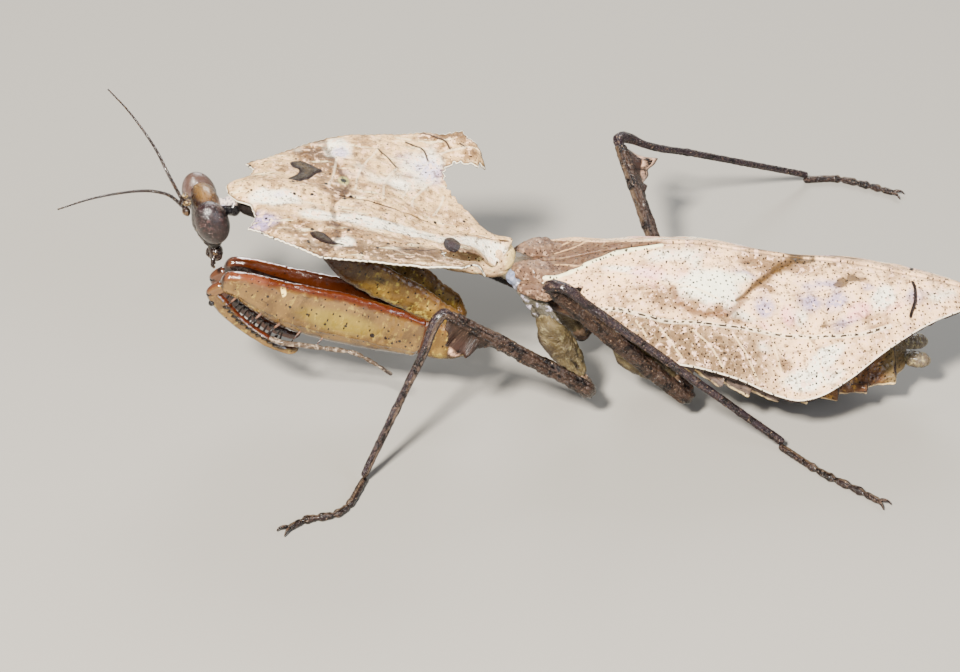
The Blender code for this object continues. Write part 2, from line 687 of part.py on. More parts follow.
def spine(root, tip, radius, name):
    """One thorn: a slim closed cone with its foot sunk in the limb."""
    along = unit(np.asarray(tip) - np.asarray(root))
    side = unit(np.cross(along, (0.31, 0.87, 0.38)))
    other = np.cross(along, side)
    ring = []
    for i in range(SPINE_SIDES):
        angle = 2 * math.pi * i / SPINE_SIDES
        ring.append(np.asarray(root) + (side * math.cos(angle) + other * math.sin(angle)) * radius)
    points = ring + [np.asarray(root) - along * radius * 0.4, np.asarray(tip)]
    faces = []
    for i in range(SPINE_SIDES):
        j = (i + 1) % SPINE_SIDES
        faces.append((j, i, SPINE_SIDES))
        faces.append((i, j, SPINE_SIDES + 1))
    return make_object(name, points, faces, "foreleg cuticle")


def along_path(path, share):
    """The place and heading at a share of a path's length."""
    points = np.array(path)
    steps = np.linalg.norm(np.diff(points, axis=0), axis=1)
    goal = share * steps.sum()
    for index, step in enumerate(steps):
        if goal <= step or index == len(steps) - 1:
            way = (points[index + 1] - points[index]) / step
            return points[index] + way * goal, way, index, goal / step
        goal -= step


def spine_rows(path, reaches, half, rows, sinks, towards, chance):
    """Thorns along one edge of a limb; each row is (side, share, length, splay)."""
    spines = []
    for side, share, length, splay in rows:
        place, way, index, part = along_path(path, share)
        reach = reaches[index] + (reaches[index + 1] - reaches[index]) * part
        down = unit(towards - way * np.dot(towards, way))
        lean = way * chance.uniform(-0.10, 0.10)
        edge = place + down * (reach * sinks) + np.array([0.0, side * half * 0.55, 0.0])
        tip = edge + (down + lean + np.array([0.0, side * splay, 0.0])) * length
        spines.append(spine(edge, tip, 0.17 + 0.06 * length, "thorn"))
    return spines


def flat_limb(name, stations, plane, drop, half, finish, sides=10):
    """A limb that bends in an upright plane; stations are (x, z) and the half height."""
    path = [np.array([x, plane, z + drop]) for (x, z), _ in stations]
    sizes = [(half(index), reach, reach) for index, (_, reach) in enumerate(stations)]
    return make_object(name, *loft(limb_rings(path, sizes, UP, sides)), finish)


def make_foreleg(name, side):
    plane = FORE_PLANE[name]
    drop = FORE_DROP[name]
    path = []
    sizes = []
    for index, ((x, z), half, reach) in enumerate(FORE_COXA):
        share = index / (len(FORE_COXA) - 1)
        path.append(np.array([x, FORE_COXA_PLANE[name], z + drop * share]))
        sizes.append((half, reach, reach))
    make_object("fore_coxa_" + name, *loft(limb_rings(path, sizes, UP, 10)), "foreleg cuticle")
    path = [np.array([x, plane, z + drop]) for (x, z), _, _ in FORE_TROCHANTER]
    sizes = [(half, reach, reach) for _, half, reach in FORE_TROCHANTER]
    make_object("fore_trochanter_" + name, *loft(limb_rings(path, sizes, UP, 10)), "foreleg cuticle")
    chance = random.Random(SPINE_SEED)
    stations = [((x, z), reach) for x, z, reach in FORE_FEMUR]
    femur = flat_limb("fore_femur_" + name, stations, plane, drop,
                      lambda index: FORE_FEMUR_HALF_THICKNESS, "foreleg cuticle", 12)
    path = [np.array([x, plane, z + drop]) for (x, z), _ in stations]
    reaches = [reach for _, reach in stations]
    rows = [(side, share, length, 0.55) for share, length in FEMUR_SPINES_OUT]
    first, last, count, length = FEMUR_SPINES_IN
    for share in np.linspace(first, last, count):
        rows.append((-side, share, length * chance.uniform(0.85, 1.15), 0.65))
    fuse(femur, spine_rows(path, reaches, FORE_FEMUR_HALF_THICKNESS, rows, 0.86, -UP, chance))
    tibia = flat_limb("fore_tibia_" + name, FORE_TIBIA, plane, drop,
                      lambda index: 0.55 if index < 5 else 0.25, "foreleg cuticle")
    path = [np.array([x, plane, z + drop]) for (x, z), _ in FORE_TIBIA]
    reaches = [reach for _, reach in FORE_TIBIA]
    first, last, count, length = TIBIA_SPINES
    rows = []
    for share in np.linspace(first, last, count):
        for edge in (LEFT, RIGHT):
            rows.append((edge, share, length * chance.uniform(0.85, 1.15), 1.3))
    fuse(tibia, spine_rows(path, reaches, 0.55, rows, 0.55, UP, chance))
    path = smooth_path([(x, plane + side * 1.55, z + drop) for x, z in FORE_TARSUS], 10)
    sizes = [(0.28, 0.28, 0.28)] * len(path)
    make_object("fore_tarsus_" + name, *loft(limb_rings(path, sizes, UP, 8)), "foreleg cuticle")


# Walking legs

def claws(wrist, heading):
    """The pair of hooked claws at the tip of a tarsus, bent down to the floor."""
    hooks = []
    for side in (LEFT, RIGHT):
        out = np.array([heading[1], -heading[0], 0.0]) * side
        path = [wrist + out * 0.14, wrist + heading * 0.45 * CLAW_LENGTH + out * 0.30 + UP * 0.16,
                wrist + heading * 0.85 * CLAW_LENGTH + out * 0.48 + UP * 0.08,
                wrist + heading * 1.12 * CLAW_LENGTH + out * 0.56 - UP * 0.18]
        sizes = [(radius, radius, radius) for radius in (0.19, 0.17, 0.13, 0.07)]
        hooks.append(make_object("hook", *loft(limb_rings(path, sizes, UP, 5)), "bark brown cuticle"))
    return hooks


def make_walking_leg(name, leg):
    """Coxa, femur, tibia and tarsus, each starting square to the end of the piece before it."""
    pair, flank = name.split("_")
    root, base, hip, knee, ankle, knee_step = (
        np.array(leg[key]) for key in ("root", "base", "hip", "knee", "ankle", "knee_step"))
    thick = leg["thick"]
    thin = leg["thin"]

    path = smooth_path([root, (root + base) / 2, base], 5)
    sizes = [(half, half * 1.25, half * 1.25) for half in (0.95, 1.15, 1.15, 1.0, 0.8, 0.55)]
    make_object(pair + "_coxa_" + flank, *loft(limb_rings(path, sizes, UP, 10)), "foreleg cuticle")

    leaving = unit(base - root)
    outward = unit(knee - hip)
    turn = base + leaving * (GAP + 1.2)
    path = [base + leaving * GAP, base + leaving * (GAP + 0.5),
            turn + (hip - turn) * 0.5 + leaving * 0.35, hip]
    sizes = [(0.55, 0.55, 0.55), (0.7, 0.7, 0.7), (0.75, 0.75, 0.75), (0.72, 0.78, 0.78)]
    for index in range(1, 11):
        share = index / 10
        path.append(hip + (knee - hip) * share)
        girth = thick * (1.0 + 0.10 * math.sin(math.pi * share)) * (1.0 - 0.15 * share)
        height, place, spread = leg["lobe"]
        keel = height * math.exp(-((share - place) / spread) ** 2)
        sizes.append((girth * 0.85, girth, girth, keel))
    flexor = unit(ankle - knee - outward * np.dot(ankle - knee, outward))
    if np.any(knee_step):
        flexor = unit(UP - outward * np.dot(UP, outward))
    make_object(pair + "_femur_" + flank, *loft(limb_rings(path, sizes, -flexor, 10)), "bark brown cuticle")

    onward = unit(ankle - knee - knee_step)
    elbow = knee + outward * (GAP + thick * 1.05)
    if np.any(knee_step):
        path = [knee + outward * GAP, knee + outward * (GAP + 0.45), elbow + knee_step * 0.45,
                elbow + knee_step + onward * 0.5, knee + knee_step + onward * 2.2]
    else:
        path = [knee + outward * GAP, knee + outward * (GAP + 0.45), elbow + onward * 0.75,
                elbow + onward * 1.9, knee + outward * 0.8 + onward * 3.6]
    for share in (0.3, 0.55, 0.8, 1.0):
        path.append(path[4] + (ankle - path[4]) * share)
    radii = [thick * 0.60, thick * 0.68, thick * 0.68, thick * 0.62, thin * 1.1, thin, thin, thin, thin]
    sizes = [(radius, radius, radius) for radius in radii]
    side = unit(np.cross(outward, onward))
    make_object(pair + "_tibia_" + flank, *loft(limb_rings(path, sizes, side, 10)), "bark brown cuticle")

    toe = [np.array([x, y, TARSUS_HEIGHT]) for x, y in leg["toe"]]
    heading = unit(toe[0] - ankle)
    ground = np.array([ankle[0], ankle[1], TARSUS_HEIGHT])
    first = ground + np.array([heading[0], heading[1], 0.0]) * FOOT_START
    path = smooth_path([first] + toe, 14)
    sizes = []
    for index in range(len(path)):
        bead = 1.0 + 0.16 * math.cos(2 * math.pi * index / 3.0)
        radius = TARSUS_RADIUS * bead
        sizes.append((radius, radius, radius))
    rings = limb_rings(path, sizes, UP, 8)
    rings = [[np.array([p[0], p[1], max(p[2], 0.0)]) for p in ring] for ring in rings]
    tarsus = make_object(pair + "_tarsus_" + flank, *loft(rings), "bark brown cuticle")
    fuse(tarsus, claws(path[-2], unit(path[-1] - path[-3])))


def centre_on_floor():
    """Move the model so that its origin is under the middle of its box."""
    lows = []
    highs = []
    for item in bpy.context.scene.objects:
        corners = [vertex.co for vertex in item.data.vertices]
        lows.append([min(corner[axis] for corner in corners) for axis in range(3)])
        highs.append([max(corner[axis] for corner in corners) for axis in range(3)])
    low = np.min(lows, axis=0)
    high = np.max(highs, axis=0)
    shift = Vector((-(low[0] + high[0]) / 2, -(low[1] + high[1]) / 2, 0.0))
    for item in bpy.context.scene.objects:
        for vertex in item.data.vertices:
            vertex.co += shift
        item.data.update()
    return shift


def build():
    for item in list(bpy.data.objects):
        bpy.data.objects.remove(item)
    make_shield()
    make_barrel()
    make_head()
    make_neck()
    make_antenna("left", LEFT, ANTENNA_LEFT)
    make_antenna("right", RIGHT, ANTENNA_RIGHT)
    make_trunk()
    for name, side in SIDES.items():
        make_tegmen(name, side)
        make_hindwing(name, side)
        make_foreleg(name, side)
    for name, leg in LEGS.items():
        make_walking_leg(name, leg)
    return centre_on_floor()


moved = build()
print("moved by", [round(value / METRES, 3) for value in moved], "mm onto its origin")
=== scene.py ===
# %% [markdown]
# # A giant dead leaf mantis, life size
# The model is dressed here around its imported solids.  Lengths are in millimetres in the
# animal's own frame: x runs from head to tail, the left side has negative y, z is the height
# over the floor.  One shift, read from the solids, takes that frame to the model's.

# %% Load the solids
import math
import random
from functools import partial

import bpy
import numpy as np
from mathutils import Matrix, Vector
from mathutils.geometry import delaunay_2d_cdt


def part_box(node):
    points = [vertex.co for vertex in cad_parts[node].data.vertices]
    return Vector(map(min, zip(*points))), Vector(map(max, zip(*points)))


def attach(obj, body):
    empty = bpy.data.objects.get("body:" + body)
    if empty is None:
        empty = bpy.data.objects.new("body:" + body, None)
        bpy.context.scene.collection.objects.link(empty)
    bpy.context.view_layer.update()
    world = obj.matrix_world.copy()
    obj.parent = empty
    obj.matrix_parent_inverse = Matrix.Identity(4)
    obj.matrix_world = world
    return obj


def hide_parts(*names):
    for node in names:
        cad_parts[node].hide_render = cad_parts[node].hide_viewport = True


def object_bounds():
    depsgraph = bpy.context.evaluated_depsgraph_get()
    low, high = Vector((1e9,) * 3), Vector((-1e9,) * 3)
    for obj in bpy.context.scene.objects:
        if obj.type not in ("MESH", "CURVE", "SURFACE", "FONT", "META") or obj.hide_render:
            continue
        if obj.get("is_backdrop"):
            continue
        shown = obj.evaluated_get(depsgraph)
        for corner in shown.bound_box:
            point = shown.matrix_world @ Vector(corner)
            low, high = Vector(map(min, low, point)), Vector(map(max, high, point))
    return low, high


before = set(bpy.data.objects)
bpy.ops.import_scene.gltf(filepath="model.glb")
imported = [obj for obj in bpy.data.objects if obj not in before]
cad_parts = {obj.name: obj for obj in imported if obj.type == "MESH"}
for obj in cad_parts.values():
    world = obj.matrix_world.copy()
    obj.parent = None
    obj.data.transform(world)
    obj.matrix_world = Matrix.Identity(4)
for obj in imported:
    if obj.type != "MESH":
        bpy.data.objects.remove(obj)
cad_low, cad_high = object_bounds()

MM = 0.001
GAP = 0.3
LEFT = -1.0
RIGHT = 1.0
SIDES = {"left": LEFT, "right": RIGHT}
UP = np.array([0.0, 0.0, 1.0])
BARREL_FRONT = -22.5
shield_low, shield_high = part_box("pronotum_shield")
SHIFT = np.array([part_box("prothorax")[0][0] / MM - BARREL_FRONT,
                  (shield_low[1] + shield_high[1]) / 2 / MM, 0.0])
print("the body's frame is shifted by", SHIFT.round(3), "mm")

# %% [markdown]
# ## Measuring and noise
# A seeded value noise gives every surface its small dents.  A Displace modifier could, but
# plain arrays let one function bend, crease and colour a skin at once.

# %% Helpers for lengths, curves and noise


def unit(vector):
    vector = np.asarray(vector, float)
    return vector / np.linalg.norm(vector)


def smooth_through(points):
    """A function that runs smoothly through (x, value...) points; it takes one x or many."""
    table = np.array(points, float)
    xs = table[:, 0]
    values = table[:, 1:]
    slopes = np.gradient(values, xs, axis=0)

    def at(x):
        x = np.clip(np.asarray(x, float), xs[0], xs[-1])
        i = np.clip(np.searchsorted(xs, x) - 1, 0, len(xs) - 2)
        step = (xs[i + 1] - xs[i])[..., None]
        t = (x - xs[i])[..., None] / step
        here = (2 * t**3 - 3 * t**2 + 1) * values[i] + (t**3 - 2 * t**2 + t) * step * slopes[i]
        there = (-2 * t**3 + 3 * t**2) * values[i + 1] + (t**3 - t**2) * step * slopes[i + 1]
        out = here + there
        return out if out.shape[-1] > 1 else out[..., 0]

    return at


def arc_lengths(points):
    """The length along a line at each of its points."""
    points = np.asarray(points, float)
    return np.concatenate([[0.0], np.cumsum(np.linalg.norm(np.diff(points, axis=0), axis=1))])


def noise(points, size, seed=0):
    """Smooth random values from -1 to 1; size is the width of one bump."""
    grid = np.asarray(points, float) / size
    low = np.floor(grid).astype(np.int64)
    part = grid - low
    part = part * part * (3 - 2 * part)
    total = np.zeros(len(grid))
    for corner in range(8):
        offset = np.array([corner & 1, corner >> 1 & 1, corner >> 2 & 1])
        cell = low + offset
        key = cell[:, 0] * 73856093 ^ cell[:, 1] * 19349663 ^ cell[:, 2] * 83492791 ^ seed * 83492
        key = (key ^ key >> 13) * 1274126177 & 0xFFFFFFFF
        value = (key >> 8 & 0xFFFF) / 32767.5 - 1
        total += value * np.prod(np.where(offset, part, 1 - part), axis=1)
    return total


def rough(points, size, seed=0, octaves=3):
    """Noise with finer noise added on top."""
    total = np.zeros(len(points))
    for octave in range(octaves):
        total += noise(points, size / 2**octave, seed + octave) / 2**octave
    return total


def line_distance(points, lines):
    """The distance of flat points to the nearest of several lines."""
    best = np.full(len(points), 99.0)
    for line in lines:
        line = np.asarray(line, float)
        for a, b in zip(line[:-1], line[1:]):
            way = b - a
            t = np.clip(((points - a) @ way) / max(way @ way, 1e-9), 0, 1)
            best = np.minimum(best, np.linalg.norm(points - a - t[:, None] * way, axis=1))
    return best


def inside(points, outline):
    """True for each flat point in the closed outline."""
    outline = np.asarray(outline, float)
    odd = np.zeros(len(points), bool)
    for a, b in zip(outline, np.roll(outline, -1, axis=0)):
        if a[1] == b[1]:
            continue
        crossing = (a[1] > points[:, 1]) != (b[1] > points[:, 1])
        meeting = (b[0] - a[0]) * (points[:, 1] - a[1]) / (b[1] - a[1]) + a[0]
        odd ^= crossing & (points[:, 0] < meeting)
    return odd


def signed_distance(points, outline):
    """Distance to a closed outline, positive inside it."""
    closed = np.vstack([outline, outline[:1]])
    return line_distance(points, [closed]) * np.where(inside(points, outline), 1, -1)


def bell(value, width):
    """One at zero, falling smoothly on both sides."""
    return np.exp(-(np.asarray(value, float) / width) ** 2)


def curved(line):
    """A smooth curve through the points of a line."""
    line = np.asarray(line, float)
    if len(line) < 3:
        return line
    lengths = arc_lengths(line)
    at = np.linspace(0, lengths[-1], 5 * len(line))
    return smooth_through(np.column_stack([lengths, line]))(at)


def curved_lines(lines):
    return [curved(line) for line in lines]


def curved_ring(ring):
    """A smooth closed curve through the points of a ring."""
    return curved(ring + ring[:1])[:-1]


# %% [markdown]
# ## Turning arrays into pieces
# A piece is a mesh in the model's frame.  It rides on the one body of this still model, stands
# for the plain solids it covers, and keeps named measures on its points, such as the distance
# to the nearest vein, which its material reads.

# %% Make a piece


def store(mesh, measures):
    """Keep numbers or vectors on the points of a mesh."""
    for key, values in measures.items():
        values = np.asarray(values, np.float32)
        flat = values.ndim == 1
        field = mesh.attributes.new(key, "FLOAT" if flat else "FLOAT_VECTOR", "POINT")
        field.data.foreach_set("value" if flat else "vector", values.ravel())


def make_piece(name, points, faces, finish, replaced=(), measures=None):
    """A shaded mesh object; points are in millimetres of the body's frame."""
    mesh = bpy.data.meshes.new(name)
    mesh.from_pydata(((np.asarray(points) + SHIFT) * MM).tolist(), [], [list(face) for face in faces])
    store(mesh, measures or {})
    mesh.shade_smooth()
    mesh.update()
    piece = bpy.data.objects.new(name, mesh)
    bpy.context.scene.collection.objects.link(piece)
    mesh.materials.append(finish)
    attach(piece, "root")
    if replaced:
        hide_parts(*replaced)
    print(name, len(mesh.vertices), "points")


def point_normals(points, faces):
    """The outward direction at each point of a mesh of triangles or quads."""
    normals = np.zeros_like(points)
    faces = np.asarray(faces)
    start = points[faces[:, 0]]
    cross = np.cross(points[faces[:, 1]] - start, points[faces[:, -1]] - start)
    for corner in range(faces.shape[1]):
        np.add.at(normals, faces[:, corner], cross)
    return normals / np.maximum(np.linalg.norm(normals, axis=1), 1e-12)[:, None]


# %% [markdown]
# ## Materials
# Colours are hex values of the cuticle's own colour, out of the light, turned to linear light; a few
# coats paint light or shade instead, each said where it is laid.
# One function adds a node, with its settings and the links into it.

# %% Colour and node helpers


def ink(code):
    """A linear colour from an sRGB hex code."""
    parts = [int(code[i:i + 2], 16) / 255 for i in (1, 3, 5)]
    return (*(c / 12.92 if c <= 0.04045 else ((c + 0.055) / 1.055) ** 2.4 for c in parts), 1.0)


def add_node(tree, kind, sockets=None, **settings):
    """Add a node; sockets maps an input's name or number to a value or to another node's output."""
    made = tree.nodes.new(kind)
    for key, value in settings.items():
        setattr(made, key, value)
    for key, value in (sockets or {}).items():
        if isinstance(value, bpy.types.NodeSocket):
            tree.links.new(value, made.inputs[key])
        else:
            made.inputs[key].default_value = value
    return made


MAP = "ShaderNodeMapRange"
MIX = "ShaderNodeMix"
MATH = "ShaderNodeMath"
NOISE = "ShaderNodeTexNoise"
CELLS = "ShaderNodeTexVoronoi"
FIELD = "ShaderNodeAttribute"
BUMP = "ShaderNodeBump"


def new_material(name, roughness):
    made = bpy.data.materials.new(name)
    made.use_nodes = True
    shader = made.node_tree.nodes["Principled BSDF"]
    shader.inputs["Roughness"].default_value = roughness
    return made, made.node_tree, shader


def paint(tree, base, coats):
    """Lay coats of colour on a base; a coat eases in while its value goes from low to high."""
    colour = ink(base) if isinstance(base, str) else base
    for tint, value, low, high, strength in coats:
        mask = add_node(tree, MAP, {0: value, 1: low, 2: high, 3: 0.0, 4: strength},
                        interpolation_type="SMOOTHSTEP").outputs[0]
        colour = add_node(tree, MIX, {0: mask, 6: colour, 7: ink(tint)}, data_type="RGBA").outputs[2]
    return colour


# %% [markdown]
# ### One recipe for insect cuticle
# Dry cuticle is a layered, waxy skin: cream or brown, blotched at several sizes, streaked along
# the limb, with dark pores and a fine grain.  Each finish below is this recipe with its own
# colours.  A coat reads a pattern (blotch, mottle, grain, streak, pores, spots) or a measure
# that the mesh keeps on its points, and eases in from its first number to its second.  Gloss
# adds a clear coat over a shallow bump, since a deep bump turns a wet shine to grey.

# %% Cuticle recipe


DETAIL = 7.0
PATTERN_ROUGHNESS = {"blotch": 0.68, "mottle": 0.68, "grain": 0.68, "streak": 0.7}
STREAK_SQUEEZE = (0.16, 1.0, 1.0)
MOTTLE_IN_BUMP = 0.6
PIT = {1: 0.05, 2: 0.14, 3: -0.35, 4: 0.0}
BUMP_STRENGTH = 0.9
BUMP_SCALE = 4
WEAR = (-0.1, 0.12)
PLAIN_SPECULAR = 0.2
SPECULAR_PER_GLOSS = 0.1
COAT_PER_GLOSS = 0.45
COAT_ROUGHNESS = 0.09


def cuticle(name, base, coats, roughness=0.5, blotch=3.0, mottle=0.8, grain=0.16, pores=0.95,
            spots=3.4, depth=0.05, spread=0.75, gloss=0.0):
    """A cuticle material; pattern sizes and the bump's depth are in millimetres.

    Coats are a small table: each has a colour, a pattern or measure, the values where it
    begins and where it is full, and its strength.
    """
    made, tree, shader = new_material(name, roughness)
    skin = add_node(tree, FIELD, attribute_name="skin").outputs["Vector"]
    wrap = add_node(tree, FIELD, attribute_name="wrap").outputs["Vector"]
    calm = add_node(tree, FIELD, attribute_name="calm").outputs["Fac"]
    sizes = {"blotch": blotch, "mottle": mottle, "grain": grain, "streak": mottle, "pores": pores,
             "spots": spots}
    values = {}

    def value_of(key):
        """The value of a pattern, or of a measure on the points; each is made once."""
        if key in values:
            return values[key]
        if key in PATTERN_ROUGHNESS:
            place = skin
            if key == "streak":
                squeezed = add_node(tree, "ShaderNodeMapping", {"Vector": wrap, "Scale": STREAK_SQUEEZE})
                place = squeezed.outputs[0]
            values[key] = add_node(tree, NOISE, {"Vector": place, "Scale": 1.0 / sizes[key], "Detail": DETAIL,
                                                 "Roughness": PATTERN_ROUGHNESS[key]}).outputs[0]
        elif key in sizes:
            cells = add_node(tree, CELLS, {"Vector": wrap, "Scale": 1.0 / sizes[key],
                                           "Randomness": spread}, voronoi_dimensions="2D")
            values[key] = add_node(tree, MATH, {0: cells.outputs["Distance"], 1: calm},
                                   operation="ADD").outputs[0]
        else:
            values[key] = add_node(tree, FIELD, attribute_name=key).outputs["Fac"]
        return values[key]

    layers = []
    for row in coats.split(";"):
        tint, key, *span = row.split()
        layers.append((tint, value_of(key), *map(float, span)))
    tree.links.new(paint(tree, base, layers), shader.inputs["Base Color"])
    fine = add_node(tree, MATH, {0: value_of("grain"), 1: MOTTLE_IN_BUMP, 2: value_of("mottle")},
                    operation="MULTIPLY_ADD")
    pits = add_node(tree, MAP, {0: value_of("pores"), **PIT})
    height = add_node(tree, MATH, {0: fine.outputs[0], 1: pits.outputs[0]}, operation="ADD")
    bump = add_node(tree, BUMP, {"Height": height.outputs[0], "Strength": BUMP_STRENGTH,
                                 "Distance": depth * MM * BUMP_SCALE})
    tree.links.new(bump.outputs[0], shader.inputs["Normal"])
    wear = add_node(tree, MAP, {0: value_of("mottle"), 1: 0.35, 2: 0.65, 3: roughness + WEAR[0],
                                4: roughness + WEAR[1]})
    tree.links.new(wear.outputs[0], shader.inputs["Roughness"])
    shader.inputs["Specular IOR Level"].default_value = PLAIN_SPECULAR + SPECULAR_PER_GLOSS * gloss
    shader.inputs["Coat Weight"].default_value = COAT_PER_GLOSS * gloss
    shader.inputs["Coat Roughness"].default_value = COAT_ROUGHNESS
    return made


# %% [markdown]
# ## Camera, floor and light
# The picture looks down on the left side from about 34 degrees, through a long lens.  The
# floor is plain and pale, and three soft lights stand in for a photographer's lamps.

# %% Camera
ELEVATION = math.radians(34.0)
DISTANCE = 400.0
TARGET = np.array([0.0, 0.0, 6.3])
PIXELS_PER_MM = 10.6
PICTURE_WIDTH = 960
SENSOR = 36.0
CLIP = (0.01, 10.0)

look = np.array([0.0, math.cos(ELEVATION), -math.sin(ELEVATION)])
camera = bpy.data.objects.new("camera", bpy.data.cameras.new("camera"))
bpy.context.scene.collection.objects.link(camera)
camera.location = (TARGET - look * DISTANCE + SHIFT) * MM
camera.rotation_euler = Vector(look).to_track_quat("-Z", "Y").to_euler()
camera.data.sensor_width = SENSOR
camera.data.lens = PIXELS_PER_MM * DISTANCE / PICTURE_WIDTH * SENSOR
camera.data.clip_start, camera.data.clip_end = CLIP
bpy.context.scene.camera = camera
print("lens", round(camera.data.lens, 1), "mm")

# %% Floor
FLOOR_HALF = 1500.0
floor_finish, _, shader = new_material("matte painted board", 0.9)
shader.inputs["Base Color"].default_value = ink("#84817A")
corners = np.array([(-1, -1, 0), (1, -1, 0), (1, 1, 0), (-1, 1, 0)]) * FLOOR_HALF
floor_mesh = bpy.data.meshes.new("floor")
floor_mesh.from_pydata((corners * MM).tolist(), [], [(0, 1, 2, 3)])
floor_mesh.materials.append(floor_finish)
floor = bpy.data.objects.new("floor", floor_mesh)
bpy.context.scene.collection.objects.link(floor)
floor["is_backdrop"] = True
print("floor", 2 * FLOOR_HALF, "mm wide")

# %% Lights
SKY_STRENGTH = 0.34
LAMPS = [
    ("key lamp", (-110.0, -300.0, 330.0), 55.0, 11.8, "#FFF8EE"),
    ("fill lamp", (260.0, -220.0, 180.0), 180.0, 1.1, "#EAF1FF"),
    ("back lamp", (40.0, 300.0, 220.0), 160.0, 1.6, "#FFFFFF")]
for name, spot, width, watts, tint in LAMPS:
    lamp = bpy.data.objects.new(name, bpy.data.lights.new(name, "AREA"))
    bpy.context.scene.collection.objects.link(lamp)
    lamp.location = (np.array(spot) + SHIFT) * MM
    lamp.rotation_euler = Vector(TARGET - np.array(spot)).to_track_quat("-Z", "Y").to_euler()
    lamp.data.size = width * MM
    lamp.data.energy = watts
    lamp.data.color = ink(tint)[:3]
world = bpy.data.worlds.new("studio")
world.use_nodes = True
sky = world.node_tree.nodes["Background"].inputs
sky["Color"].default_value = ink("#E8ECF2")
sky["Strength"].default_value = SKY_STRENGTH
bpy.context.scene.world = world
print(len(LAMPS), "lamps, sky at", SKY_STRENGTH)

# %% [markdown]
# ## Leaf-like skins
# The shield and the wing cases are thin curved plates.  Their outline is filled with small
# triangles on the flat, lifted onto the curved surface and given a second face below.  A
# grid would be simpler, but it can't follow the shield's deep notches.

# %% Build a curved plate


def leaf_grid(outline, spacing):
    """Fill a flat outline with near even triangles."""
    outline = np.asarray(outline, float)
    low = outline.min(axis=0)
    high = outline.max(axis=0)
    rows = np.arange(low[1] + spacing / 2, high[1], spacing * 0.87)
    cells = []
    for index, y in enumerate(rows):
        xs = np.arange(low[0] + spacing * (0.5 if index % 2 else 1.0), high[0], spacing)
        cells.append(np.column_stack([xs, np.full(len(xs), y)]))
    cells = np.vstack(cells)
    cells = cells[inside(cells, outline)]
    closed = np.vstack([outline, outline[:1]])
    cells = cells[line_distance(cells, [closed]) > spacing * 0.5]
    count = len(outline)
    edges = [(i, (i + 1) % count) for i in range(count)]
    coords = [Vector(point) for point in outline] + [Vector(point) for point in cells]
    verts, _, faces, _, _, _ = delaunay_2d_cdt(coords, edges, [], 1, 1e-6)
    return np.array([tuple(vert) for vert in verts]), np.array(faces)


def dense(points, step, closed=True):
    """Add points along a line so that none are further apart than step."""
    points = np.asarray(points, float)
    ring = np.vstack([points, points[:1]]) if closed else points
    out = []
    for a, b in zip(ring[:-1], ring[1:]):
        count = max(1, math.ceil(np.linalg.norm(b - a) / step))
        out.extend(a + (b - a) * i / count for i in range(count))
    if not closed:
        out.append(ring[-1])
    return np.array(out)


def leaf_plate(flat, faces, middle, thickness, top_relief, low_relief):
    """Two like faces around a middle surface, closed along the margin."""
    normals = point_normals(middle, faces)
    if normals[:, 2].mean() < 0:
        faces = faces[:, ::-1]
        normals = -normals
    top = middle + normals * (thickness / 2 + top_relief)[:, None]
    low = middle - normals * (thickness / 2 + low_relief)[:, None]
    count = len(flat)
    ways = {}
    for face in faces.tolist():
        for i in range(3):
            ways[(face[i], face[(i + 1) % 3])] = True
    rim = []
    for a, b in ways:
        if (b, a) not in ways:
            rim.append((b, a, a + count))
            rim.append((b, a + count, b + count))
    skin = np.vstack([faces, faces[:, ::-1] + count, np.array(rim)])
    return np.vstack([top, low]), skin


def both_faces(measures, skin):
    """The measures of a plate's flat points, given to its upper and its lower face."""
    out = {key: np.concatenate([value, value]) for key, value in measures.items()}
    out["skin"] = out["wrap"] = np.vstack([skin, skin])
    out["under"] = np.repeat([0.0, 1.0], len(skin))
    return out


# %% [markdown]
# ## The shield
# The pronotum of a dead leaf mantis spreads into two broad lobes with a notched rear edge and
# small teeth, like a torn leaf.  Its ridge line climbs to the head, and both lobes rise to
# their tips.  The sizes are those of the solid, but for the near lobe, which starts a little
# further back and is wider at its rear.  The surface gets folds, veins and pits.

# %% Shield shape
SHIELD_RIDGE = [
    (-24.5, 22.5), (-21.0, 23.3), (-19.0, 23.2), (-14.5, 22.3), (-12.0, 21.9), (-9.4, 21.1), (-7.0, 20.0),
    (-3.2, 18.3), (-0.5, 17.5), (3.4, 16.9)]
SHIELD_DIHEDRAL = [
    (-24.5, -0.2), (-21.0, -0.18), (-16.4, -0.07), (-13.7, -0.02), (-9.9, 0.06), (-5.2, 0.235),
    (-1.6, 0.385), (0.5, 0.43), (1.4, 0.16), (2.4, 0.02), (3.4, 0.0)]
SHIELD_OUTLINE = [
    (-23.4, 0.0), (-23.2, 1.0), (-22.5, 1.9), (-21.4, 2.6), (-21.0, 4.1), (-21.8, 5.6), (-20.2, 6.1),
    (-18.4, 7.3), (-16.4, 8.7), (-14.4, 10.0), (-12.4, 10.5), (-9.9, 10.7), (-7.2, 11.0), (-5.1, 11.3),
    (-3.4, 10.9), (-1.7, 11.1), (-1.2, 10.4), (-0.1, 9.5), (0.45, 8.5), (-0.5, 7.9), (-2.4, 8.0),
    (-3.5, 7.2), (-3.6, 6.1), (-3.3, 4.9), (-2.2, 3.5), (-0.6, 2.5), (0.8, 1.8), (1.9, 1.4), (2.6, 0.9),
    (2.9, 0.4), (3.0, 0.0)]
SHIELD_THICKNESS = 0.36
SHIELD_MESH = 0.14
TOOTH_HEIGHT = 0.26
TOOTH_PITCH = 0.62
SCALLOP_HEIGHT = 0.24
TOOTH_SEEDS = (3, 8)
NEAR_LOBE_FRONT = 0.75
NEAR_LOBE_REAR = 1.9
ridge_height = smooth_through(SHIELD_RIDGE)
dihedral = smooth_through(SHIELD_DIHEDRAL)


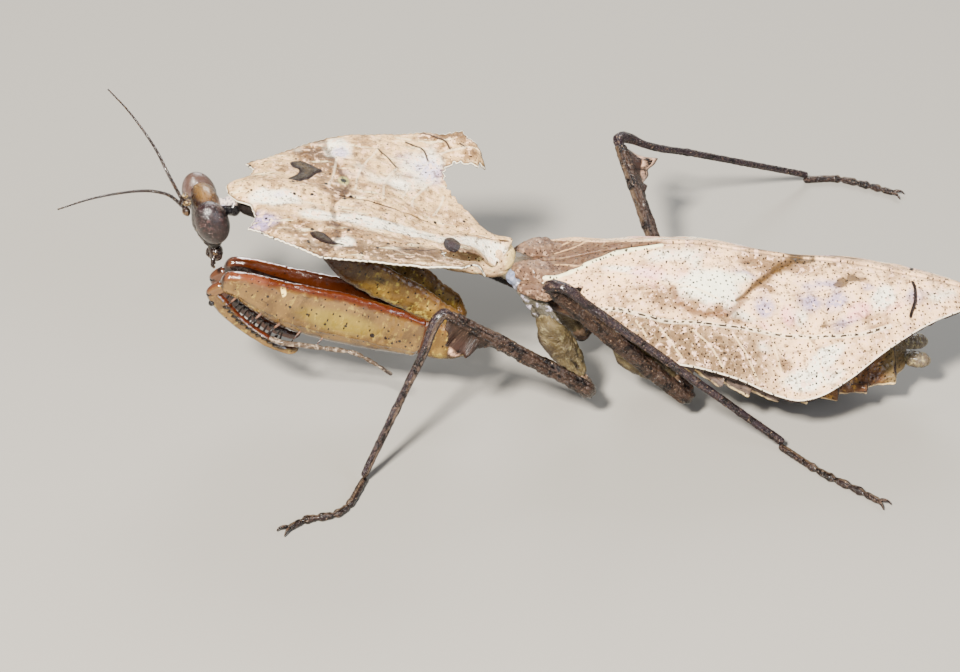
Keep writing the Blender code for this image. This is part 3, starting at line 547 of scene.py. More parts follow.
def shield_surface(x, y):
    """The shield's middle surface: a rounded ridge, a valley on each side and raised lobes."""
    reach = np.abs(y)
    arch = 0.75 * (1.0 - np.exp(-(reach / 2.0) ** 2))
    back = 0.75 * np.minimum(reach / 9.0, 1.0)
    return np.column_stack([x, y, ridge_height(x) + dihedral(x) * reach - arch + back])


def toothed(half, seed):
    """Small uneven teeth that stand out from the free margin of one lobe."""
    chance = random.Random(seed)
    lengths = arc_lengths(half)
    out = []
    for index, (x, y) in enumerate(half):
        before = half[max(index - 1, 0)]
        after = half[min(index + 1, len(half) - 1)]
        way = unit(after - before)
        outward = np.array([-way[1], way[0]])
        free = min(max((y - 2.4) / 1.5, 0.0), 1.0)
        phase = lengths[index] / TOOTH_PITCH % 1.0
        rise = phase if phase < 0.75 else (1 - phase) * 3
        tooth = TOOTH_HEIGHT * rise * chance.uniform(0.55, 1.0)
        in_notch = x > -3.7 and 2.4 < y < 8.2
        scallop = SCALLOP_HEIGHT * abs(math.sin(lengths[index] * 3.6)) if in_notch else 0.0
        out.append((x, y) + outward * (tooth + scallop) * free)
    return np.array(out)


half = dense(SHIELD_OUTLINE, 0.155, closed=False)
right_half = toothed(half, TOOTH_SEEDS[0])
left_half = toothed(half, TOOTH_SEEDS[1]) * (1, -1)
left_x, left_y = left_half.T
left_x += NEAR_LOBE_FRONT * bell(left_x + 21.6, 1.4) * np.clip(-left_y / 5, 0, 1)
behind_notch = (left_x > -3.6) * (left_y > -5.6)
left_y -= NEAR_LOBE_REAR * bell(left_x + 0.9, 2.0) * behind_notch
shield_flat_outline = np.vstack([right_half, left_half[::-1][1:-1]])
shield_flat, shield_faces = leaf_grid(shield_flat_outline, SHIELD_MESH)
print("shield grid", len(shield_flat), "points")

# %% [markdown]
# ### Veins and marks of the shield
# Midrib, side veins and rot-like blotches are drawn as lines and small outlines on the flat
# shield, and each point stores how far away they are.  The material turns that distance into
# crisp colour, the relief into raised veins.

# %% Shield veins and marks
SHIELD_VEINS_PALE = [
    [(-9.0, 0.7), (-8.9, 3.8), (-7.8, 6.2)], [(-7.3, 2.2), (-6.2, 5.3), (-4.9, 7.7)],
    [(-6.4, 1.0), (-6.3, 2.4), (-5.2, 4.4), (-4.2, 5.8)], [(-11.6, 1.2), (-11.3, 4.4), (-9.6, 8.3)],
    [(-4.9, 7.7), (-3.6, 8.6), (-1.4, 9.2)], [(-4.4, 1.0), (-3.8, 2.6), (-3.4, 4.0)],
    [(-14.0, 1.2), (-13.6, 4.0), (-13.4, 6.4)]]
SHIELD_VEINS_DARK = [
    [(-9.6, 8.3), (-8.8, 7.4), (-7.8, 6.2)], [(-7.0, 9.8), (-6.3, 9.5), (-5.4, 9.0), (-4.9, 7.7)],
    [(-5.6, 11.2), (-4.3, 10.6), (-3.2, 9.9), (-2.8, 9.0)], [(-1.9, 9.6), (-1.5, 9.3)]]
MIDLINE = [(-13.0, -0.08), (-9.4, -0.2), (-3.2, -0.25), (-0.5, -0.3), (2.6, -0.2)]
HEART_MARK = [
    (-17.7, 4.9), (-17.4, 5.5), (-16.9, 5.6), (-16.2, 5.3), (-15.4, 4.6), (-14.7, 4.1), (-15.2, 3.6),
    (-15.7, 2.6), (-16.3, 1.8), (-16.9, 1.3), (-17.5, 1.1), (-17.7, 1.6), (-17.1, 2.5), (-16.8, 3.3),
    (-16.9, 3.9), (-17.4, 4.3)]
SMALL_MARK = [
    (-15.5, -6.3), (-14.9, -6.0), (-14.0, -6.6), (-13.1, -7.6), (-12.3, -8.2), (-13.2, -7.9),
    (-14.2, -7.6), (-15.0, -7.1)]
# The folded strip has no relief; its fold is drawn only as painted shade, a brown band with a near-black
# line.
FOLDED_STRIP = [(-7.0, -7.6), (-2.6, -5.6), (0.0, -4.2), (1.6, -2.9)]
OVAL_SPOT = (-2.6, -3.9, 0.78, 1.7)
GREEN_SPOT = (-12.7, 2.7, 0.35, 0.55)
RUST_LINE = [
    (-14.8, 10.2), (-14.5, 8.4), (-14.1, 7.0), (-13.4, 5.4), (-12.8, 3.9), (-12.3, 2.6), (-12.6, 0.0),
    (-13.4, -1.4), (-13.4, -3.4), (-12.9, -7.0), (-13.6, -8.6), (-14.5, -10.2)]
LONG_FOLD = [(-20.2, -3.0), (-16.8, -4.6), (-13.0, -5.4), (-8.0, -5.9), (-3.2, -6.2), (0.4, -4.2)]
FOLD_LINES = [
    [(-16.0, 6.4), (-12.8, 5.2), (-10.0, 4.8)], LONG_FOLD, [(-14.6, 2.2), (-11.0, 2.4), (-8.0, 3.0)]]

x, y = shield_flat.T
spread = np.column_stack([x, y, np.zeros(len(x))])
to_pale = line_distance(shield_flat, curved_lines(SHIELD_VEINS_PALE))
to_dark = line_distance(shield_flat, curved_lines(SHIELD_VEINS_DARK))
near_veins = line_distance(shield_flat * (1, -1), curved_lines(SHIELD_VEINS_PALE))
to_midline = line_distance(shield_flat, [curved(MIDLINE)])
to_fold = line_distance(shield_flat, curved_lines(FOLD_LINES))
to_strip = line_distance(shield_flat, [curved(FOLDED_STRIP)])
heart = np.maximum(signed_distance(shield_flat, curved_ring(HEART_MARK)),
                   signed_distance(shield_flat, curved_ring(SMALL_MARK)))
margin = signed_distance(shield_flat, shield_flat_outline)
oval, green = (1 - np.hypot((x - cx) / rx, (y - cy) / ry) for cx, cy, rx, ry in (OVAL_SPOT, GREEN_SPOT))
rust = line_distance(shield_flat, [curved(RUST_LINE)])
rust_x, rust_y = np.array(RUST_LINE[::-1]).T
rearward = x - np.interp(y, rust_y, rust_x)

# %% [markdown]
# ### Relief of the shield
# Veins and folds stand up, the midline and the marks are cut in, and all of it fades at the
# margin, where the plate is thinner.  The near lobe sinks towards its rear, and the last part
# rolls down around the barrel of the body.

# %% Shield relief and skin
wrinkle = 0.1 * rough(spread, 1.6, 5) + 0.05 * rough(spread * (0.3, 1, 1), 0.45, 9)
relief = (0.09 * bell(to_pale, 0.16) + 0.07 * bell(to_dark, 0.14) - 0.18 * bell(to_midline, 0.13)
          + 0.05 * bell(near_veins, 0.16) + 0.16 * bell(to_fold, 0.6) - 0.06 * bell(heart, 0.12)
          + 0.05 * (heart > 0.1) - 0.1 * bell(rust, 0.35) + wrinkle + 0.1 * np.clip(oval, -0.1, 0.4))
taper = 0.45 + 0.55 * np.clip(margin / 0.8, 0, 1)
relief *= np.clip(margin / 0.5, 0.25, 1)
middle = shield_surface(x, y)
middle[:, 2] += 0.14 * rough(spread, 4.2, 2) * np.clip(margin / 1.5, 0, 1)
sunk = np.clip((-y - 3.0) / 4.0, 0, 1)
middle[:, 2] -= sunk * sunk * (3 - 2 * sunk) * (0.3 + 0.65 * np.clip((x + 6.0) / 5.0, 0, 1))
rear = np.clip((x + 2.0) / 2.6, 0, 1) ** 2
middle[:, 2] -= 1.15 * rear * np.clip(np.abs(y) / 1.75, 0, 1.2) ** 2
skin_points, skin_faces = leaf_plate(shield_flat, shield_faces, middle, SHIELD_THICKNESS * taper,
                                     relief, -relief * 0.6)
print("shield relief from", relief.min().round(2), "to", relief.max().round(2), "mm")

# %% [markdown]
# ### Colours of the shield
# Tan, white and a cold lilac lie over cream in wide patches, tan mostly on the front of the far
# lobe and along the lower margin.  They are kept as three measures.  The marks are dark, with
# an olive field in the heart.  Pores are many near the midline and few on the far lobe.  Shade is
# painted in below the near lobe's long fold and along its folded strip.

# %% Shield finish


def patches(points, blobs):
    """Soft patches on flat points; each blob is x, y, its half sizes and its strength."""
    total = np.zeros(len(points))
    for cx, cy, rx, ry, strength in blobs:
        total += strength * np.exp(-((points[:, 0] - cx) / rx) ** 2 - ((points[:, 1] - cy) / ry) ** 2)
    return total


WHITE_PATCHES = [
    (-13.4, 7.8, 1.1, 1.6, 1.5), (-18.8, -1.7, 2.4, 1.0, 1.0), (-5.6, -3.2, 3.6, 1.0, 1.1),
    (-10.5, -3.6, 3.5, 0.8, 1.0), (-5.2, 6.4, 2.0, 2.6, 0.7), (1.4, -1.3, 1.8, 0.9, 1.0),
    (-12.4, -7.6, 0.9, 1.0, 1.0), (-15.0, -3.6, 1.6, 0.8, 0.8), (-8.4, 4.4, 3.0, 2.5, 0.5),
    (-1.5, -2.2, 1.6, 0.9, 1.0)]
BLUE_PATCHES = [
    (-19.9, -4.9, 1.8, 1.2, 1.3), (-18.0, -1.4, 2.0, 0.7, 0.8), (-6.6, 7.4, 3.2, 2.2, 0.8),
    (-13.2, 7.3, 0.9, 1.4, 1.1), (-4.6, 6.2, 1.1, 1.8, 0.9), (-11.5, -1.2, 1.4, 0.8, 0.7),
    (-11.9, 4.2, 1.6, 0.9, 0.7)]
TAN_PATCHES = [
    (-17.5, 7.5, 3.2, 1.8, 0.8), (-15.6, 6.6, 1.2, 2.2, 0.9), (-14.8, 3.0, 1.8, 2.6, 0.8),
    (-9.0, -8.8, 7.5, 1.5, 1.1), (-16.0, -6.6, 2.6, 1.6, 0.8), (-3.6, 10.6, 3.4, 0.7, 1.0),
    (-1.0, 9.0, 1.2, 1.6, 0.8), (-14.0, 0.6, 5.0, 0.9, 0.6), (-3.0, -7.6, 4.0, 1.2, 0.8),
    (-1.6, -4.6, 1.8, 1.2, 1.3), (-16.4, -5.0, 2.0, 0.5, 0.7), (-13.2, -4.6, 0.8, 0.6, 1.0),
    (-11.8, -5.6, 1.2, 0.8, 0.9)]
tan = (patches(shield_flat, TAN_PATCHES) + 0.34 * rough(spread, 2.6, 21)
       + 0.75 * bell(rust, 1.0) * (rearward < 0.15))
white = patches(shield_flat, WHITE_PATCHES) + 0.3 * rough(spread, 1.9, 31)
blue = patches(shield_flat, BLUE_PATCHES) + 0.25 * rough(spread, 1.7, 41)
# Below the long fold the near lobe is painted darker brown: painted shade where the lobe turns down.
fold_y = np.interp(x, *np.array(LONG_FOLD).T)
lower = np.clip((fold_y - y) / 0.8, 0, 1) * (0.75 + 0.5 * rough(spread * (0.25, 1, 1), 0.8, 61))
rim = margin + 1.0 * ((x > -4.4) & (np.abs(y) < 5.8))
sparse = np.clip((y - 1.8) / 2.5, 0, 1) * np.clip(rearward / 1.0, 0, 1)
calm = 0.03 * sparse + 0.03 * np.clip(rough(spread, 2.2, 51), -0.6, 1)
rusty = bell(rust, 0.4) * (0.65 + 0.5 * noise(spread, 0.7, 3))
shield_measures = both_faces({
    "pale": to_pale, "dark": to_dark, "crease": to_midline, "mark": heart, "margin": rim, "oval": oval,
    "green": green, "tan": tan, "white": white, "blue": blue, "rusty": rusty, "fold": to_fold,
    "calm": calm, "lower": lower, "strip": to_strip}, spread)

# Coat lower is painted shade on the near lobe below its long fold.
# The strip coats are painted shade of the fold along the folded strip.
shield_finish = cuticle("dry leaf-like shield cuticle", "#D6AF79", """
    #815E38 blotch 0.47 0.58 0.65; #6C4F30 tan 0.3 0.95 0.95; #422E1D tan 0.95 1.5 0.7;
    #664E30 lower 0.2 0.9 0.8; #F7EED6 white 0.2 0.7 0.97; #A897CF blue 0.35 1.1 0.6;
    #F7CBA4 mottle 0.53 0.59 0.75; #4E3721 mottle 0.47 0.38 0.75; #F7E6B9 streak 0.56 0.63 0.65;
    #422A1B streak 0.44 0.34 0.7; #3E2816 rusty 0.3 0.85 0.75; #F7E5C3 pale 0.16 0.05 0.4;
    #25150C dark 0.15 0.05 1.0; #150905 crease 0.16 0.06 1.0; #573B20 fold 0.5 0.08 0.4;
    #523C27 strip 0.8 0.35 0.75; #25150B strip 0.12 0.05 1.0; #2F1C0E margin 0.28 0.08 0.75;
    #F7EED6 margin 0.09 0.02 0.85; #180A06 mark -0.1 0.0 1.0; #281F13 mark 0.12 0.3 1.0;
    #443825 mark 0.42 0.62 0.6; #14070A oval -0.05 0.05 1.0; #2C1A20 oval 0.35 0.8 0.6;
    #A8AE60 green -0.7 -0.2 0.5; #081714 green 0.0 0.3 1.0; #0E0503 pores 0.115 0.08 1.0;
    #0E0503 spots 0.06 0.04 1.0; #3C2919 under 0.5 0.6 0.6""",
    roughness=0.44, blotch=2.6, mottle=0.75, pores=0.64, spots=2.6, depth=0.07, spread=1.0, gloss=0.06)
make_piece("shield_skin", skin_points, skin_faces, shield_finish,
           ["pronotum_shield"], shield_measures)

# %% [markdown]
# ## Limbs and bodies as swept skins
# Everything round on the animal is a skin swept along a path: rings of points, wide or high as
# a table says.  A bevelled curve would give round tubes only.  Here each ring may be flat,
# keeled or lobed, and the relief may grow ridges and granules along it.  Each skin also keeps
# measures: how far along a point is, and how far up on its ring (level).

# %% Sweep a skin


def resample(points, step):
    """A smooth curve through points, cut in even steps; also gives the lengths along it."""
    lengths = arc_lengths(points)
    count = max(4, int(lengths[-1] / step))
    curve = smooth_through(np.column_stack([lengths, points]))
    at = np.linspace(0.0, lengths[-1], count + 1)
    return curve(at), at, lengths


def softened(values, reach):
    """Round off the corners of a table of sizes."""
    kernel = np.hanning(2 * reach + 3)[1:-1]
    return np.convolve(np.pad(values, reach, mode="edge"), kernel / kernel.sum(), mode="valid")


def sweep(path, sizes, up, sides=40, step=0.12, relief=None, square=1.0, keel_power=10, blur=0.6,
          curl=None):
    """Rings along a path, closed at both ends.  Sizes are half width, rise, drop and keel.

    The relief pushes points out; it gets the length along the path, the angle, the skin place
    and the whole length.  The curl bends the keel from side to side.
    """
    path = np.asarray(path, float)
    spine, at, knots = resample(path, step)
    sizes = np.array([(*size, 0.0)[:4] for size in sizes])
    width, rise, drop, keel = (np.interp(at, knots, sizes[:, k]) for k in range(4))
    width, rise, drop, keel = (softened(values, max(1, int(blur / step)))
                               for values in (width, rise, drop, keel))
    along = np.gradient(spine, axis=0)
    along /= np.linalg.norm(along, axis=1)[:, None]
    ups = np.broadcast_to(np.asarray(up, float), spine.shape)
    high = ups - along * np.sum(ups * along, axis=1)[:, None]
    high /= np.linalg.norm(high, axis=1)[:, None]
    across = np.cross(high, along)
    turn = 2 * math.pi * np.arange(sides) / sides - math.pi / 2
    cosine, sine = np.cos(turn), np.sin(turn)
    flat_cos = np.sign(cosine) * np.abs(cosine) ** square
    flat_sin = np.sign(sine) * np.abs(sine) ** square
    flange = np.clip(-sine, 0, 1)[None, :] ** keel_power
    reach = np.where(sine[None, :] >= 0, rise[:, None], drop[:, None]) + keel[:, None] * flange
    ends = np.minimum(at, at[-1] - at)[:, None]
    near_end = 1 - np.clip(ends / np.minimum(width, rise)[:, None], 0, 1)
    rounding = np.sqrt(np.clip(1 - near_end ** 2, 0.02, 1))
    w = width[:, None] * flat_cos[None, :] * rounding
    if curl is not None:
        w = w + curl(at)[:, None] * keel[:, None] * flange
    h = reach * flat_sin[None, :] * rounding
    points = spine[:, None] + across[:, None] * w[..., None] + high[:, None] * h[..., None]
    out = across[:, None] * cosine[None, :, None] + high[:, None] * sine[None, :, None]
    s = np.broadcast_to(at[:, None], w.shape)
    angle = np.broadcast_to(turn[None, :], w.shape)
    girth = (width + rise) / 2
    wrap = np.stack([s, (angle + math.pi / 2) * girth.mean(), np.zeros_like(s)], axis=-1)
    skin = np.stack([s, np.cos(angle) * girth[:, None], np.sin(angle) * girth[:, None]], axis=-1)
    if relief is not None:
        push = relief(s.ravel(), angle.ravel(), skin.reshape(-1, 3), at[-1]).reshape(w.shape)
        points = points + out * (push * np.clip(ends / 0.3, 0, 1))[..., None]
    rings = len(at)
    index = np.arange(rings * sides).reshape(rings, sides)
    right = np.roll(index, -1, axis=1)
    quads = np.stack([index[:-1], right[:-1], right[1:], index[1:]], axis=-1).reshape(-1, 4)
    points = points.reshape(-1, 3)
    count = len(points)
    points = np.vstack([points, spine[0], spine[-1]])
    faces = [tuple(quad) for quad in quads]
    faces += [(right[0, i], index[0, i], count) for i in range(sides)]
    faces += [(index[-1, i], right[-1, i], count + 1) for i in range(sides)]
    skin = np.vstack([skin.reshape(-1, 3), (at[0], 0, 0), (at[-1], 0, 0)])
    wrap = np.vstack([wrap.reshape(-1, 3), (at[0], 0, 0), (at[-1], 0, 0)])
    shares = {"skin": skin, "wrap": wrap, "along": np.append(s.ravel(), (0.0, at[-1])) / at[-1],
              "level": np.append(np.sin(angle).ravel(), (0.0, 0.0))}
    return points, faces, shares


def even(radii):
    """Sizes of round rings."""
    return [(radius,) * 3 for radius in radii]


def laid_out(table, side=RIGHT):
    """The path and sizes of a table of (place, half width, half height), mirrored for a side."""
    path = [np.array(place) * (1.0, side, 1.0) for place, _, _ in table]
    return path, [(half, rise, rise) for _, half, rise in table]


def joined(parts):
    """Several skins as one set of points, faces and measures."""
    points, faces, measures = [], [], {}
    start = 0
    for part_points, part_faces, part_measures in parts:
        points.append(part_points)
        faces.extend(tuple(i + start for i in face) for face in part_faces)
        for key, value in part_measures.items():
            measures.setdefault(key, []).append(value)
        start += len(part_points)
    return np.vstack(points), faces, {key: np.concatenate(value) for key, value in measures.items()}


def skin_piece(name, skins, finish, replaced=()):
    """One piece from several skins that reach into each other."""
    points, faces, measures = joined(skins)
    return make_piece(name, points, faces, finish, replaced, measures)


# %% [markdown]
# ## Prothorax and neck
# Under the shield runs the narrow barrel of the prothorax, which holds the grasping legs.  It
# is swept from the neck to the middle body, and grown up into the shield so that no seam shows.
# A second sweep swells it to a bulb at the rear.  The neck is a short dark folded membrane.

# %% Prothorax
BARREL = [
    (-22.5, 1.55, 2.9), (-20.0, 1.9, 3.6), (-16.5, 2.3, 4.5), (-13.0, 2.5, 4.9), (-9.0, 2.2, 4.5),
    (-5.0, 1.9, 4.1), (-1.0, 1.8, 3.9), (2.7, 1.8, 3.7)]
barrel_path, barrel_sizes = [], []
for bx, bhalf, bdepth in BARREL:
    roof = float(ridge_height(bx)) - 0.35
    bottom = float(ridge_height(bx)) - bdepth
    barrel_path.append((bx, 0.0, (roof + bottom) / 2))
    barrel_sizes.append((bhalf, (roof - bottom) / 2, (roof - bottom) / 2))


def barrel_relief(s, angle, skin, length):
    folds = 0.05 * np.sin(s * 4.2 + np.sin(angle * 3)) * bell(np.sin(angle) + 0.3, 0.6)
    seam = -0.14 * bell(np.sin(angle) + 0.35, 0.07)
    return folds + seam + 0.06 * rough(skin, 0.9, 4) + 0.03 * rough(skin, 0.25, 6)


# The barrel's underside is painted darker brown as painted shade, and its front end nearly black as painted
# shadow under the shield's front.
barrel_finish = cuticle("cuticle of the prothorax", "#DAB486", """
    #795B3D blotch 0.47 0.6 0.7; #F7E7AF mottle 0.52 0.62 0.7; #3C2616 level -0.25 -0.8 0.75;
    #F7D885 along 0.86 0.93 0.6; #110A08 along 0.24 0.08 1.0; #150906 pores 0.1 0.07 1.0""",
    roughness=0.38, pores=0.85, spread=1.0, gloss=0.15)
BULB_SHARE = 0.93
BULB = [
    ((-5.0, 0.0, 17.0), 1.3), ((-2.4, 0.0, 16.2), 1.72), ((-0.4, 0.0, 15.7), 1.95),
    ((1.6, 0.0, 15.25), 2.02), ((2.8, 0.0, 15.1), 1.86), ((3.35, 0.0, 15.05), 1.6)]
bulb = sweep([place for place, _ in BULB], [(half, half * BULB_SHARE, half) for _, half in BULB], UP, 56,
             0.12, barrel_relief, blur=0.9)
skin_piece("prothorax_skin", [sweep(barrel_path, barrel_sizes, UP, 56, 0.14, barrel_relief), bulb],
           barrel_finish, ["prothorax"])

# %% Neck
neck_path = [(-25.0, 0.0, 20.7), (-23.8, 0.0, 20.8), (-22.9, 0.0, 20.8), (-22.0, 0.0, 20.7)]
neck_sizes = [*even((0.75, 0.8, 0.9)), (1.1, 1.2, 1.2)]


def neck_relief(s, angle, skin, length):
    return 0.05 * np.sin(s * 7.0 + 2.5 * np.sin(2 * angle)) + 0.1 * rough(skin, 0.7, 8)


neck_finish = cuticle("folded neck membrane", "#D1BDB2", """
    #44465A mottle 0.5 0.6 0.9; #2C1F1A mottle 0.45 0.36 0.8; #09070B level 0.85 0.5 1.0;
    #DCCFF7 streak 0.6 0.66 0.8""",
    roughness=0.2, mottle=0.45, gloss=0.9)
skin_piece("neck_skin", [sweep(neck_path, neck_sizes, UP, 40, 0.08, neck_relief)], neck_finish,
           ["neck"])

# %% [markdown]
# ## Small parts that repeat
# Thorns, feeler segments and eye facets repeat by the hundred.  Geometry Nodes grow them: the
# first tree puts a bent thorn on every point of a host mesh, aimed by a vector on the point, and
# the second strings beads along a path.  A loop could copy them, but a tree names its sizes.

# %% Grow with Geometry Nodes


def new_tree(name, inputs):
    """A geometry tree with named inputs; gives the tree, its add_node, its inputs and its end."""
    tree = bpy.data.node_groups.new(name, "GeometryNodeTree")
    tree.interface.new_socket("Geometry", in_out="INPUT", socket_type="NodeSocketGeometry")
    for key, kind in inputs.items():
        tree.interface.new_socket(key, in_out="INPUT", socket_type=kind)
    tree.interface.new_socket("Geometry", in_out="OUTPUT", socket_type="NodeSocketGeometry")
    node = partial(add_node, tree)
    return tree, node, node("NodeGroupInput").outputs, node("NodeGroupOutput").inputs[0]


def end_tree(tree, geometry, given, result):
    """Make the copies real, give them the finish and hand them to the tree's output."""
    real = add_node(tree, "GeometryNodeRealizeInstances", {"Geometry": geometry})
    dressed = add_node(tree, "GeometryNodeSetMaterial", {"Geometry": real.outputs[0],
                                                         "Material": given["Finish"]})
    tree.links.new(dressed.outputs[0], result)
    print(tree.name, len(tree.nodes), "nodes")


def grow(tree, host, values):
    """Run a tree on a host mesh with values for its named inputs; gives a plain mesh."""
    grower = bpy.data.objects.new(tree.name, host)
    bpy.context.scene.collection.objects.link(grower)
    modifier = grower.modifiers.new("grow", "NODES")
    modifier.node_group = tree
    for item in tree.interface.items_tree:
        if item.in_out == "INPUT" and item.name in values:
            modifier[item.identifier] = values[item.name]
    graph = bpy.context.evaluated_depsgraph_get()
    graph.update()
    grown = bpy.data.meshes.new_from_object(grower.evaluated_get(graph), depsgraph=graph)
    bpy.data.objects.remove(grower)
    return grown


def host_mesh(name, points, edges=(), **fields):
    """A bare mesh in millimetres with values on its points, for a tree to grow on."""
    mesh = bpy.data.meshes.new(name)
    mesh.from_pydata(np.asarray(points, float).tolist(), list(edges), [])
    store(mesh, fields)
    return mesh


def grown_skin(mesh):
    """The points, faces and measures of a grown mesh."""
    points = np.empty(len(mesh.vertices) * 3, np.float32)
    mesh.vertices.foreach_get("co", points)
    points = points.reshape(-1, 3).astype(float)
    faces = [tuple(face.vertices) for face in mesh.polygons]
    nothing = np.zeros(len(points))
    measures = {"skin": points, "wrap": points, "along": nothing, "level": nothing}
    if "height" in mesh.attributes:
        height = np.empty(len(points), np.float32)
        mesh.attributes["height"].data.foreach_get("value", height)
        measures["along"] = height.astype(float)
    return points, faces, measures


# %% The thorn tree
thorn_tree, node, given, result = new_tree("thorns on points", {
    "Width": "NodeSocketFloat", "Sides": "NodeSocketInt", "Bend": "NodeSocketFloat",
    "Finish": "NodeSocketMaterial"})
cone = node("GeometryNodeMeshCone", {"Vertices": given["Sides"], "Side Segments": 5, "Radius Top": 0.03,
                                     "Radius Bottom": given["Width"], "Depth": 1.0}, fill_type="NGON")
where = node("GeometryNodeInputPosition").outputs[0]
split = node("ShaderNodeSeparateXYZ", {0: where})
curl = node(MATH, {0: split.outputs["Z"], 1: split.outputs["Z"]}, operation="MULTIPLY")
lean = node(MATH, {0: curl.outputs[0], 1: given["Bend"]}, operation="MULTIPLY")
offset = node("ShaderNodeCombineXYZ", {"X": lean.outputs[0]})
bent = node("GeometryNodeSetPosition", {"Geometry": cone.outputs["Mesh"], "Offset": offset.outputs[0]})
kept = node("GeometryNodeStoreNamedAttribute", {
    "Geometry": bent.outputs[0], "Name": "height", "Value": split.outputs["Z"]},
    data_type="FLOAT", domain="POINT")
aim = node("GeometryNodeInputNamedAttribute", {"Name": "aim"}, data_type="FLOAT_VECTOR")
length = node("ShaderNodeVectorMath", {0: aim.outputs[0]}, operation="LENGTH")
turned = node("FunctionNodeAlignRotationToVector", {"Vector": aim.outputs[0]}, axis="Z")
placed = node("GeometryNodeInstanceOnPoints", {
    "Points": given["Geometry"], "Instance": kept.outputs[0], "Rotation": turned.outputs[0],
    "Scale": length.outputs["Value"]})
end_tree(thorn_tree, placed.outputs[0], given, result)


def thorns(roots, aims, finish, width, sides, bend):
    """Thorns rooted at points; an aim's length is the thorn's length."""
    host = host_mesh("thorn roots", roots, aim=aims)
    return grown_skin(grow(thorn_tree, host, {"Width": width, "Sides": sides, "Bend": bend,
                                              "Finish": finish}))


# %% The bead tree
bead_tree, node, given, result = new_tree("beads along a path", {
    "Bead length": "NodeSocketFloat", "Overlap": "NodeSocketFloat", "Waist": "NodeSocketFloat",
    "Finish": "NodeSocketMaterial"})
line = node("GeometryNodeMeshToCurve", {"Mesh": given["Geometry"]})
steps = node("GeometryNodeResampleCurve", {"Curve": line.outputs[0], "Length": given["Bead length"]},
             mode="LENGTH")
bead = node("GeometryNodeMeshCone", {
    "Vertices": 12, "Side Segments": 3, "Radius Top": 1.0, "Radius Bottom": given["Waist"], "Depth": 1.0},
    fill_type="NGON")
heading = node("GeometryNodeInputTangent")
girth = node("GeometryNodeInputNamedAttribute", {"Name": "girth"}, data_type="FLOAT")
reach = node(MATH, {0: given["Bead length"], 1: given["Overlap"]}, operation="MULTIPLY")
size = node("ShaderNodeCombineXYZ", {"X": girth.outputs[0], "Y": girth.outputs[0],
                                     "Z": reach.outputs[0]})
turned = node("FunctionNodeAlignRotationToVector", {"Vector": heading.outputs[0]}, axis="Z")
placed = node("GeometryNodeInstanceOnPoints", {
    "Points": steps.outputs[0], "Instance": bead.outputs["Mesh"], "Rotation": turned.outputs[0],
    "Scale": size.outputs[0]})
end_tree(bead_tree, placed.outputs[0], given, result)


BEAD_OVERLAP = 1.12
BEAD_WAIST = 0.72


def beads(points, first, last, length, finish):
    """Beads from one girth to another along a smooth path."""
    curve, at, _ = resample(points, length / 2)
    girths = first + (last - first) * at / at[-1]
    host = host_mesh("bead path", curve, [(i, i + 1) for i in range(len(curve) - 1)], girth=girths)
    return grown_skin(grow(bead_tree, host, {"Bead length": length, "Overlap": BEAD_OVERLAP,
                                             "Waist": BEAD_WAIST, "Finish": finish}))


# %% [markdown]
# ## Head
# A mantis has a small wedge of a face below two large eyes, three simple eyes between the
# feelers, a shield-like front plate, lips and dark jaws.  The capsule is one sweep from chin to
# crown, with its plates cut in as grooves.  The eyes sit in raised cups.

# %% Head frame
HEAD_AT = np.array([-25.35, 0.0, 20.6])
HEAD_YAW = math.radians(16.0)
HEAD_PITCH = math.radians(9.0)
HEAD_RINGS = [
    (-4.4, 0.85, 0.6, 0.75), (-3.6, 1.1, 0.95, 0.95), (-2.4, 1.6, 1.35, 1.15), (-1.0, 2.1, 1.45, 1.3),
    (0.2, 2.45, 1.25, 1.4), (1.2, 2.35, 1.1, 1.3), (1.9, 1.9, 0.85, 1.05), (2.25, 1.2, 0.5, 0.7)]
EYE_OFFSET = 2.65
EYE_RADII = np.array([1.55, 1.45, 2.25])
EYE_TILT = math.radians(8.0)
FACET_NET = 5
FACET_RAISE = 0.014
FACET_TOP = 0.72
CUP_MARGIN = 0.12
forward = np.array([-math.cos(HEAD_YAW), -math.sin(HEAD_YAW), 0.0])
HEAD_SIDE = np.array([-math.sin(HEAD_YAW), math.cos(HEAD_YAW), 0.0])
HEAD_UP = UP * math.cos(HEAD_PITCH) + forward * math.sin(HEAD_PITCH)
HEAD_AHEAD = forward * math.cos(HEAD_PITCH) - UP * math.sin(HEAD_PITCH)


def head_point(ahead, side, up):
    return HEAD_AT + HEAD_AHEAD * ahead + HEAD_SIDE * side + HEAD_UP * up


# %% [markdown]
# ### Head capsule
# The grooves between the plates are bells along the sweep and across it.  The front plate
# swells, the crown is granular, and a seam runs down its middle.

# %% Head capsule
head_path = [head_point(0.0, 0.0, height) for height, _, _, _ in HEAD_RINGS]
head_sizes = [(half, front, back) for _, half, front, back in HEAD_RINGS]


def head_relief(s, angle, skin, length):
    height = s + HEAD_RINGS[0][0]
    aside = np.cos(angle)
    front = np.clip(np.sin(angle) * 3, 0, 1)
    crown = np.clip((height - 1.0) / 0.6, 0, 1)
    plate = bell(height + 1.5, 0.75) * bell(aside, 0.55) * front
    grooves = bell(height + 2.3, 0.08) + bell(height + 3.3, 0.08) + bell(height - 0.4, 0.06) * 0.5
    seam = bell(aside, 0.03) * np.clip((height - 0.3) / 0.4, 0, 1) * front
    cheek = bell(np.abs(aside) - 0.72, 0.05) * front * (height < -0.4)
    bumps = 0.1 * np.clip(rough(skin, 0.42, 12), 0, 1) * (0.35 + 0.65 * crown)
    return (0.13 * plate - 0.12 * grooves * front - 0.12 * seam - 0.09 * cheek + bumps
            + 0.03 * rough(skin, 0.2, 14))


